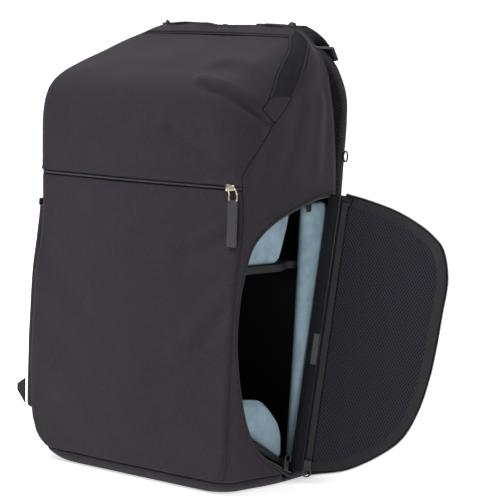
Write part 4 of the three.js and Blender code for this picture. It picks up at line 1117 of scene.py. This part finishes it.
bail_low, bail_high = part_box("front_zip_bail")
pull_low, pull_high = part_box("front_zip_pull")
bail_x = (bail_low.x + bail_high.x) / 2
bail_half, bail_y = 5.4 * MM, (bail_low.y + bail_high.y) / 2
bail_side = [(bail_half * 0.55, bail_high.z + 3.6 * MM), (bail_half * 0.95, bail_high.z + 1.5 * MM),
             (bail_half, bail_low.z + 6 * MM), (bail_half, bail_low.z + 1 * MM),
             (bail_half * 0.7, bail_low.z - 1.6 * MM)]
bail_stops = [(bail_x - x, z) for x, z in bail_side] + [(bail_x + x, z) for x, z in bail_side[::-1]]
bail_line = through([(x, bail_y - 1.2 * MM * (z > bail_high.z), z)
                     for x, z in bail_stops + bail_stops[:1]], 80)[:-1]
bail_piece = place("front_zip_bail_wire", swept(bail_line, np.tile((0, 1.0, 0), (79, 1)),
                                                round_section(0.85 * MM), looped=True))
settle(bail_piece, "front_zip_bail", "zip_metal", nickel)


def pillow(outline, lift, columns, rows, corners, basis, origin):
    """A closed pad over an outline, in a plane's own frame. lift(distance in from the edge, points) is half
    its thickness there. corners are the outline's four indexes between which the grid's sides run."""
    outline = np.asarray(outline, float)
    count = len(outline)

    def side_line(a, b, steps):
        b = b if b > a else b + count
        part = outline[np.arange(a, b + 1) % count]
        run = np.concatenate([[0], np.cumsum(np.linalg.norm(np.diff(part, axis=0), axis=1))])
        even = np.linspace(0, run[-1], steps)
        return np.stack([np.interp(even, run, part[:, k]) for k in (0, 1)], 1)

    a, b, c, d = corners
    fine = 200
    low, far = side_line(a, b, fine), side_line(b, c, fine)
    high, near = side_line(c, d, fine)[::-1], side_line(d, a, fine)[::-1]
    stops = np.linspace(0, 1, fine)

    def at(line, share):
        return np.stack([np.interp(share, stops, line[:, k]) for k in (0, 1)], 1)

    loop = np.concatenate([outline, outline[:1]])
    basis, origin = np.asarray(basis, float), np.asarray(origin, float)

    def layer(sign):
        def shape(s, t):
            s, t = graded(s, columns, 0.1, 3.5 * MM, 4), graded(t, rows, 0.1, 3.5 * MM, 4)
            s1, t1 = s[:, None], t[:, None]
            plan = ((1 - t1) * at(low, s) + t1 * at(high, s) + (1 - s1) * at(near, t) + s1 * at(far, t)
                    - (1 - s1) * (1 - t1) * low[0] - s1 * (1 - t1) * low[-1]
                    - (1 - s1) * t1 * high[0] - s1 * t1 * high[-1])
            away = line_distance(plan, loop)
            rim = (s < 1e-9) | (s > 1 - 1e-9) | (t < 1e-9) | (t > 1 - 1e-9)
            away[rim] = 0
            half = lift(away, plan)
            local = np.column_stack([plan, sign * half])
            return origin + local @ basis, plan
        return grid_mesh(columns, rows, shape)

    top, under = layer(1), layer(-1)
    bmesh.ops.reverse_faces(under, faces=under.faces)
    whole = stitched([top, under])
    bmesh.ops.recalc_face_normals(whole, faces=whole.faces)
    return whole


def box_outline(a0, a1, b0, b1, radius, count=8):
    return rounded_section(a1 - a0, b1 - b0, radius, count) + ((a0 + a1) / 2, (b0 + b1) / 2)


def pull_lift(away, plan):
    frame_dip = np.clip((away - 2.2 * MM) / (0.6 * MM), 0, 1) * 0.35 * MM
    waist = np.clip(1 - np.abs(plan[:, 1] - (pull_high.z - 5 * MM)) / (3 * MM), 0, 1) * 0.25 * MM
    return 1.45 * MM * edge_round(away, 1.2 * MM) - frame_dip + waist


pull_outline = box_outline(pull_low.x, pull_high.x, pull_low.z, pull_high.z, 2.2 * MM)
pull_mesh = pillow(pull_outline, pull_lift, 22, 60, (4, 12, 20, 28),
                   [(1, 0, 0), (0, 0, 1), (0, -1, 0)], (0, (pull_low.y + pull_high.y) / 2, 0))
pull_piece = place("front_zip_pull_rubber", pull_mesh)
settle(pull_piece, "front_zip_pull", "pull_rubber", pull_rubber)

# Opening binding
# The cut edge of the side round the opening is wrapped in black grosgrain. The door's coil zip is sewn
# beside it, and a short webbing tab hangs from its top corner.
bound = opening_plan[opening_plan[:, 1] > 0]
bound_girth = girth_where(bound[:, 0], bound[:, 1])
bound_points, bound_normals = along_form(np.stack([bound_girth, bound[:, 1]], 1))
bound_side = np.cross(np.gradient(bound_points, axis=0), bound_normals)
bound_side /= np.linalg.norm(bound_side, axis=1)[:, None]
middle_in = 1.9 * MM
if np.mean(bound_side[:, 1]) < 0:
    bound_side = -bound_side
binding_line = bound_points + bound_side * middle_in - bound_normals * 2.9 * MM
opening_binding = place("opening_binding_tape", swept(binding_line, bound_side,
                                                      rounded_section(3.4 * MM, 7.6 * MM, 1.5 * MM, 5)))
settle(opening_binding, "opening_binding", "binding", binding_material)
coil_line = bound_points + bound_side * 4.6 * MM - bound_normals * 3.4 * MM
opening_coil = place("opening_zip_coil", repeated(coil_turn(3.0 * MM, 0.9 * MM, 1.2 * MM),
                                              seat_frames(coil_line, bound_normals, 1.4 * MM)))
settle(opening_coil, None, "zip_tape", coil_material)


def webbing_finish():
    """Black nylon webbing: a herringbone of ribs."""
    cloth = Finish("webbing_nylon", Roughness=0.6, Specular_IOR_Level=0.25)
    u, v, _ = cloth.parts(cloth.chart())
    zigzag = v.ribs(3.4 * MM) * (1.6 * MM)
    ribs = (u + zigzag).ribs(1.5 * MM)
    tone = cloth.noise(cloth.object_point(), 220.0)
    cloth.feed("Base Color", cloth.blend(tone * 0.45 + ribs * 0.4, linear(10, 10, 12), linear(38, 36, 41)))
    cloth.relief(ribs, 0.22 * MM)
    return cloth.material


webbing = webbing_finish()
tab_low, tab_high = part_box("opening_tab")
tab_x, tab_y = (tab_low.x + tab_high.x) / 2, (tab_low.y + tab_high.y) / 2
tab_path = through([(tab_x, tab_y, tab_high.z + 4 * MM), (tab_x + 0.6 * MM, tab_y, tab_low.z + 8 * MM),
                    (tab_x, tab_y, tab_low.z + 0.8 * MM)], 24)
tab_piece = place("opening_tab_webbing", swept(tab_path, np.tile((0, 1.0, 0), (24, 1)),
                                               rounded_section(7 * MM, 2.6 * MM, 1.1 * MM)))
settle(tab_piece, "opening_tab", "webbing", webbing)

# Side door
# A D-shaped foam panel, cloth outside and black lining inside, folded open on its cloth hinge. A stitched
# binding band runs round its inner face, a coil zip round its rim, and a black mesh pocket fills the band.
hinge = np.array([156.25, 18, 7]) * MM
door_turn = math.radians(123)
door_out = hinge_out * math.cos(door_turn) + np.array([math.sin(door_turn), 0, 0])
door_face = np.cross(hinge_up, door_out)
door_height, door_reach = 0.318, 0.132
door_table = [[0.028, 0.079], [0.035, 0.157], [0.066, 0.407], [0.135, 0.664], [0.204, 0.821], [0.302, 0.914],
              [0.415, 0.964], [0.516, 0.984], [0.629, 0.993], [0.755, 1.000], [0.852, 0.936], [0.896, 0.836],
              [0.931, 0.700], [0.965, 0.500], [0.987, 0.271], [1.000, 0.071]]
door_rim = through([(out * door_reach, up * door_height) for up, out in door_table], 150)
door_basis = np.array([door_out, hinge_up, door_face])


def door_point(out, up, face):
    return hinge + np.column_stack(np.broadcast_arrays(out, up, face)) @ door_basis


def inset_rim(line, inwards):
    """A line set inwards from an outline that is open on the hinge side."""
    along = np.gradient(line, axis=0)
    along /= np.linalg.norm(along, axis=1)[:, None]
    return line + np.stack([-along[:, 1], along[:, 0]], 1) * inwards


def door_pad(name, inwards, root, depth, half, radius, quilting=0.0):
    rim = inset_rim(door_rim, inwards)
    rim = rim[rim[:, 0] >= root]
    outline = np.concatenate([[(root, rim[0, 1])], rim, [(root, rim[-1, 1])]])
    low, high = int(len(rim) * 0.3), int(len(rim) * 0.74)

    def lift(away, plan):
        ease = np.clip(away / (22 * MM), 0, 1)
        return half * edge_round(away, radius) + quilting * ease * ease
    return place(name, pillow(outline, lift, 30, 60, (0, low, high, len(outline) - 1), door_basis,
                              hinge + door_face * depth))


door_panel = door_pad("door_panel_cloth", 0, 4 * MM, -3 * MM, 2.9 * MM, 2.6 * MM)
settle(door_panel, "door_panel", "shell_fabric", shell_cloth)
door_lining = door_pad("door_lining_cloth", 6 * MM, 6 * MM, -6.0 * MM, 0.5 * MM, 1 * MM)
settle(door_lining, None, "lining", lining_cloth)
band_middle = inset_rim(door_rim, 5.5 * MM)
band_line = np.concatenate([[(9.5 * MM, 16 * MM)], band_middle[3:-3], [(9.5 * MM, 311 * MM)]])
band_line = through(np.concatenate([band_line, [(9.5 * MM, 160 * MM), (9.5 * MM, 20 * MM)]])[::6], 300)
band_path = door_point(band_line[:, 0], band_line[:, 1], -6.95 * MM)
band_side = np.cross(np.gradient(band_path, axis=0), door_face)
door_band = place("door_band_tape", swept(band_path, band_side,
                                          rounded_section(11 * MM, 1.3 * MM, 0.5 * MM, 4)))
settle(door_band, "door_band", "binding", binding_material)


def mesh_finish():
    """Black knitted mesh: a net of small round holes over the lining."""
    net = Finish("mesh_pocket_net", Roughness=0.7, Specular_IOR_Level=0.12)
    threads = ((net.cells(3.3 * MM) - 0.3) * 3.0).clamped()
    net.feed("Base Color", net.blend(threads, linear(42, 40, 48), linear(4, 4, 6)))
    net.relief(threads * -1.0, 0.5 * MM)
    return net.material


mesh_net = mesh_finish()
mesh_pocket = door_pad("door_mesh_pocket_net", 10 * MM, 14 * MM, -7.3 * MM, 0.8 * MM, 2 * MM, 0.4 * MM)
settle(mesh_pocket, "door_mesh_pocket", "spacer_mesh", mesh_net)
coil_rim = inset_rim(door_rim, -2.1 * MM)
coil_path = door_point(coil_rim[:, 0], coil_rim[:, 1], -3 * MM)
coil_out = np.cross(door_face, np.gradient(coil_path, axis=0))
coil_out /= np.linalg.norm(coil_out, axis=1)[:, None]
door_coil = place("door_zip_coil_teeth", repeated(coil_turn(3.0 * MM, 0.9 * MM, 1.5 * MM),
                                                  seat_frames(coil_path, -np.tile(door_face, (150, 1)), 1.4 * MM)))
settle(door_coil, "door_zip_coil", "zip_tape", coil_material)
tape_rim = inset_rim(door_rim, -0.8 * MM)
tape_path = door_point(tape_rim[:, 0], tape_rim[:, 1], -3.6 * MM)
door_tape = place("door_zip_tape_woven", swept(tape_path, coil_out,
                                               rounded_section(3.0 * MM, 0.8 * MM, 0.35 * MM, 3)))
settle(door_tape, None, "zip_tape", tape_finish)


def solid_copy(node, name, slot, material, bevel):
    """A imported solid, merged and eased at its edges, finished with one material."""
    source = bpy.data.objects[node]
    shape = bmesh.new()
    shape.from_mesh(source.data)
    shape.transform(source.matrix_world)
    bmesh.ops.remove_doubles(shape, verts=shape.verts, dist=0.02 * MM)
    bmesh.ops.dissolve_limit(shape, angle_limit=math.radians(2), verts=shape.verts, edges=shape.edges)
    chart = shape.loops.layers.uv.new("cloth")
    for face in shape.faces:
        away = max(range(3), key=lambda k: abs(face.normal[k]))
        first, second = ((2, 1), (2, 0), (1, 0))[away]
        for loop in face.loops:
            loop[chart].uv = loop.vert.co[first], loop.vert.co[second]
    copy = place(name, shape)
    eased_edge = copy.modifiers.new("edge", "BEVEL")
    eased_edge.width, eased_edge.segments = bevel, 2
    eased_edge.limit_method, eased_edge.angle_limit = "ANGLE", math.radians(35)
    eased_edge.use_clamp_overlap = True
    settle(copy, node, slot, material)
    return copy


# Door hinge and its label
# The cloth fold that joins the door to the side, with a small bare woven label sewn on it.
solid_copy("door_hinge_strip", "door_hinge_cloth", "binding", binding_material, 0.8 * MM)


def grained(name, roughness, specular, dark, pale, depth):
    """A plain finish whose fine grain turns it from dark to pale."""
    plain = Finish(name, Roughness=roughness, Specular_IOR_Level=specular)
    grain = plain.noise(plain.object_point(), 900.0)
    plain.feed("Base Color", plain.blend(grain, dark, pale))
    plain.relief(grain, depth)
    return plain.material


woven_label = grained("woven_label", 0.8, 0.3, linear(62, 62, 66), linear(92, 92, 98), 0.1 * MM)
solid_copy("hinge_label", "hinge_label_woven", "webbing", woven_label, 0.2 * MM)
acetal = grained("black_acetal", 0.42, 0.5, linear(14, 14, 15), linear(30, 30, 33), 0.05 * MM)
for node in ("door_slider_upper", "door_slider_lower"):
    solid_copy(node, f"{node}_moulded", "hard_plastic", acetal, 0.25 * MM)

# Padded insert
# Blue-grey brushed fleece over foam: an upright pad behind the opening and two tapered side flaps, with soft
# edges, between a sloping floor pad and a shelf in black lining.


def fleece_finish():
    fleece = Finish("insert_fleece", Roughness=0.92, Specular_IOR_Level=0.2)
    point = fleece.object_point()
    broad, fine = fleece.noise(point, 60.0), fleece.noise(point, 1400.0)
    fleece.feed("Base Color", fleece.blend(broad * 0.55 + fine * 0.45, linear(58, 80, 93), linear(146, 168, 179)))
    fleece.relief(fine * 0.7 + broad * 0.6, 0.5 * MM)
    return fleece.material


fleece = fleece_finish()


filling_pressure, filling_frames = 4.0, 20


def inflate(piece, cap):
    """Fills a closed pad by a cloth simulation under pressure. No vertex moves further than cap."""
    start = np.array([corner.co for corner in piece.data.vertices])
    filling = piece.modifiers.new("filling", "CLOTH")
    filling.settings.use_pressure = True
    filling.settings.uniform_pressure_force = filling_pressure
    filling.settings.effector_weights.gravity = 0
    filling.settings.tension_stiffness = filling.settings.compression_stiffness = 8
    filling.point_cache.frame_start, filling.point_cache.frame_end = 1, filling_frames
    for frame in range(1, filling_frames + 1):
        bpy.context.scene.frame_set(frame)
    done = piece.evaluated_get(bpy.context.evaluated_depsgraph_get()).to_mesh()
    moved = np.array([corner.co for corner in done.vertices]) - start
    piece.modifiers.remove(filling)
    reach = np.maximum(np.linalg.norm(moved, axis=1), 1e-9)
    moved *= np.minimum(1, cap / reach)[:, None]
    for corner, place_now in zip(piece.data.vertices, start + moved):
        corner.co = place_now
    bpy.context.scene.frame_set(1)


def soft_slab(name, node, outline, x_low, x_high, corners, radius, puff, slot, material):
    """A foam pad between two planes of x, over an outline of y and z."""
    half = (x_high - x_low) / 2

    def lift(away, plan):
        return (half - puff) * edge_round(away, radius) + puff * np.clip(away / (14 * MM), 0, 1)
    pad = place(name, pillow(outline, lift, 26, 44, corners, [(0, 1, 0), (0, 0, 1), (1, 0, 0)],
                             ((x_low + x_high) / 2, 0, 0)))
    inflate(pad, 1.6 * MM)
    settle(pad, node, slot, material)


def ring_of(stops, per_side=14, radius=6 * MM):
    """A closed outline with rounded corners, and the indexes in the middle of its corners."""
    stops = np.asarray(stops, float)
    count, line, middles = len(stops), [], []
    for i in range(count):
        before, here, after = stops[i - 1], stops[i], stops[(i + 1) % count]
        back, on = before - here, after - here
        reach = min(radius, np.linalg.norm(back) * 0.45, np.linalg.norm(on) * 0.45)
        a, b = here + back / np.linalg.norm(back) * reach, here + on / np.linalg.norm(on) * reach
        t = np.linspace(0, 1, 7)[:, None]
        arc = (1 - t) ** 2 * a + 2 * t * (1 - t) * here + t * t * b
        middles.append(len(line) + 3)
        line.extend(arc)
        step_to = stops[(i + 1) % count] - b
        length = np.linalg.norm(step_to)
        stop_share = 1 - min(radius, length * 0.45) / length
        line.extend(b + step_to * q for q in np.linspace(0, stop_share, per_side)[1:-1])
    return np.array(line), middles


pad_low, pad_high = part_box("insert_rear_pad")
pad_lean = 14 * MM
pad_outline, pad_corners = ring_of([(pad_low.y + 3 * MM, pad_low.z), (pad_high.y - 14 * MM, pad_low.z),
                                    (pad_high.y, pad_high.z), (pad_low.y + pad_lean, pad_high.z)], 20, 8 * MM)
soft_slab("insert_rear_pad_fleece", "insert_rear_pad", pad_outline, pad_low.x, pad_high.x,
          pad_corners, 7 * MM, 1.2 * MM, "insert_fabric", fleece)
for name, table, foot, picks in (
    ("upper", [(-0.420, 0.000), (-0.021, 0.000), (0.016, 0.037), (0.058, 0.081), (0.074, 0.116),
               (-0.080, 0.116), (-0.260, 0.072)], 0.2463, (0, 2, 4, 6)),
    ("lower", [(0.062, 0.053), (0.058, 0.109), (0.027, 0.137), (-0.053, 0.169), (-0.138, 0.194),
               (-0.372, 0.202), (-0.480, 0.168)], 0.0, (0, 2, 4, 6))):
    node = f"insert_{name}_flap"
    low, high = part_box(node)
    stops = [(y * body_depth, foot + z * body_height) for y, z in table]
    outline, middles = ring_of(stops, 12, 9 * MM)
    outline = np.clip(outline, (low.y, low.z), (high.y, high.z))
    soft_slab(f"{node}_fleece", node, outline, low.x, high.x, [middles[k] for k in picks], 4.6 * MM, 0.6 * MM,
              "insert_fabric", fleece)
for node in ("insert_floor", "insert_shelf"):
    solid_copy(node, f"{node}_lined", "lining", lining_cloth, 2.2 * MM)

# Back padding
# Two foam halves under black spacer mesh, with a channel between them where air can pass.


def spacer_finish():
    knit = Finish("spacer_mesh_knit", Roughness=0.8, Specular_IOR_Level=0.3)
    cells = knit.cells(4.2 * MM)
    tone = knit.noise(knit.object_point(), 150.0)
    knit.feed("Base Color", knit.blend(cells * 0.7 + tone * 0.3, linear(42, 42, 46), linear(12, 12, 14)))
    knit.relief(cells * -1.0, 0.6 * MM)
    return knit.material


spacer = spacer_finish()
back_low, back_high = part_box("back_pad")
channel = 16 * MM
for hand, inner, outer in (("right", channel / 2, back_high.x), ("left", back_low.x, -channel / 2)):
    stops = [(inner, back_low.z), (outer, back_low.z), (outer, back_high.z), (inner, back_high.z)]
    outline, middles = ring_of(stops, 26, 20 * MM)

    def back_lift(away, plan):
        return 5.2 * MM * edge_round(away, 7 * MM) + 0.7 * MM * np.clip(away / (25 * MM), 0, 1)
    half_pad = pillow(outline, back_lift, 30, 96, middles, [(1, 0, 0), (0, 0, 1), (0, -1, 0)], (0, 0, 0))
    for corner in half_pad.verts:
        corner.co.y += np.interp(corner.co.z, levels, back_line) + 6.4 * MM
    pad = place(f"back_pad_{hand}_mesh", half_pad)
    inflate(pad, 1.2 * MM)
    settle(pad, "back_pad", "spacer_mesh", spacer)

# Shoulder straps
# Curved foam straps under spacer mesh, sewn into the upper back. Webbing runs from a ladder buckle on each
# foot to a tab at the base, a load lifter holds each top to the rear edge, and a small loop is sewn outside.
strap_table = np.array([[1.00, 0.378, 0.935], [1.00, 0.465, 0.948], [1.04, 0.560, 0.938], [1.13, 0.640, 0.905],
                        [1.21, 0.690, 0.848], [1.28, 0.668, 0.785], [1.34, 0.625, 0.715], [1.38, 0.595, 0.650],
                        [1.38, 0.582, 0.570], [1.36, 0.580, 0.490], [1.36, 0.585, 0.425]])
strap_spread, strap_width, strap_count = 72 * MM, 62 * MM, 110
lifter_stops = [(0.350, 1.0035), (0.440, 0.9925), (0.520, 0.978), (0.580, 0.962)]
for hand, side in (("right", 1), ("left", -1)):
    strap_path = through(strap_table * (side * strap_spread, body_depth, body_height), strap_count)
    share = np.linspace(0, 1, strap_count)
    narrowing = 1 - 0.16 * np.clip((share - 0.7) / 0.3, 0, 1)
    rounding = np.sqrt(np.clip(1 - np.clip(1 - (1 - share) * 12, 0, 1) ** 2, 0.02, 1))
    wrinkle = 1 + 0.03 * np.sin(share * 95)
    strap = place(f"shoulder_strap_{hand}_mesh", swept(strap_path, np.tile((1.0, 0, 0), (strap_count, 1)),
        rounded_section(strap_width, 11.4 * MM, 5.2 * MM, 7),
        np.stack([narrowing * (0.75 + 0.25 * rounding), rounding * wrinkle], 1)))
    settle(strap, f"shoulder_strap_{hand}", "spacer_mesh", spacer)
    for kind, ending, slot, finish, ease in (
            ("strap_buckle", "moulded", "hard_plastic", acetal, 0.7),
            ("lifter_buckle", "moulded", "hard_plastic", acetal, 0.7),
            ("strap_loop", "cord", "webbing", webbing, 0.25),
            ("lower_webbing", "woven", "webbing", webbing, 0.4),
            ("anchor_tab", "cloth", "shell_fabric", shell_cloth, 0.8)):
        solid_copy(f"{kind}_{hand}", f"{kind}_{hand}_{ending}", slot, finish, ease * MM)
    lifter_path = through([(side * 1.38 * strap_spread, y * body_depth, z * body_height - 0.4 * MM)
                           for y, z in lifter_stops], 40)
    lifter = place(f"load_lifter_{hand}_woven", swept(lifter_path, np.tile((1.0, 0, 0), (40, 1)),
                                                      rounded_section(20 * MM, 1.8 * MM, 0.7 * MM, 4)))
    settle(lifter, f"load_lifter_{hand}", "webbing", webbing)
    solid_copy(f"handle_tab_{hand}", f"handle_tab_{hand}_cloth", "shell_fabric", shell_cloth, 0.9 * MM)

# Grab handle
# Webbing that hangs behind the top rear edge from its two sewn ends.
handle_end, handle_width, handle_tilt, handle_drop = 61 * MM, 24 * MM, math.radians(60), 8 * MM
handle_top = body_height + 0.3 * MM + 1.5 * MM
rear_top = back_line[-1]
handle_half = [(1.0, rear_top - 16 * MM, handle_top), (0.82, rear_top - 12 * MM, handle_top),
               (0.6, rear_top + 5.5 * MM, handle_top), (0.3, rear_top + 7.5 * MM, handle_top - handle_drop * 0.6)]
handle_front = through([(-x * handle_end, y, z) for x, y, z in handle_half]
                       + [(0, rear_top + 7.5 * MM, handle_top - handle_drop)]
                       + [(x * handle_end, y, z) for x, y, z in handle_half[::-1]], 90)
slack = np.clip((np.abs(handle_front[:, 0]) / handle_end - 0.2) / 0.6, 0, 1)
tilts = handle_tilt * (1 - slack * slack * (3 - 2 * slack))
handle_across = np.stack([np.zeros(90), np.cos(tilts), -np.sin(tilts)], 1)
handle_line = handle_front + handle_across * handle_width / 2
handle = place("grab_handle_woven", swept(handle_line, handle_across,
                                          rounded_section(handle_width, 3 * MM, 1.2 * MM, 5)))
settle(handle, "grab_handle", "webbing", webbing)

# Side pocket
# A pouch of black stretch cloth on the left side, open at its bound upper edge, with a small cloth tab at its
# front lower corner.


def stretch_finish():
    stretch = Finish("stretch_pocket_cloth", Roughness=0.75, Specular_IOR_Level=0.3)
    u, v, _ = stretch.parts(stretch.chart())
    ribs = u.ribs(1.1 * MM)
    tone = stretch.noise(stretch.object_point(), 40.0)
    stretch.feed("Base Color", stretch.blend(ribs * 0.3 + tone * 0.6, linear(14, 14, 16), linear(38, 37, 41)))
    stretch.relief(ribs + tone * 2.0, 0.15 * MM)
    return stretch.material


stretch = stretch_finish()
pocket_low, pocket_high, pocket_rear_y, pocket_stand = 58 * MM, 292 * MM, 58 * MM, 11.5 * MM


def pocket_place(s, t, beyond=0.0):
    """A place on the pocket's outer face, s from front to rear and t from its foot to its mouth."""
    z = pocket_low + (pocket_high - pocket_low) * t + beyond
    front_girth = girth_of("front", z, -1) + 1.5 * MM
    rear_girth = girth_where(np.full(len(z), pocket_rear_y), z, -1)
    width = rear_girth - front_girth
    g = front_girth + width * s
    away = np.minimum(np.minimum(s, 1 - s) * width, t * (pocket_high - pocket_low))
    uneven = 0.97 + 0.03 * np.sin(s * 21 + t * 9) * np.sin(t * 15 + s * 5)
    stand = pocket_stand * edge_round(away, 16 * MM) * uneven
    return on_form(-g, z) + outward(-g, z) * stand[:, None], np.stack([g, z], 1)


def pocket_shape(s, t):
    return pocket_place(graded(s, 50, 0.15, 14 * MM, 10), t ** 1.15)


pocket = place("side_pocket_stretch", grid_mesh(50, 60, pocket_shape))
shape = bmesh.new()
shape.from_mesh(pocket.data)
bmesh.ops.reverse_faces(shape, faces=shape.faces)
shape.to_mesh(pocket.data)
shape.free()
thicken(pocket, 1.6 * MM)
settle(pocket, "side_pocket", "binding", stretch, stretch)
mouth_run = np.linspace(0.02, 0.98, 90)
mouth_line = pocket_place(mouth_run, np.ones(90), 4 * MM)[0]
mouth = place("side_pocket_binding_tape", swept(mouth_line, np.tile((0, 0, 1.0), (90, 1)),
                                                rounded_section(8 * MM, 2.6 * MM, 1.1 * MM, 4)))
settle(mouth, "side_pocket_binding", "binding", binding_material)
solid_copy("side_corner_tab", "side_corner_tab_cloth", "shell_fabric", shell_cloth, 0.5 * MM)
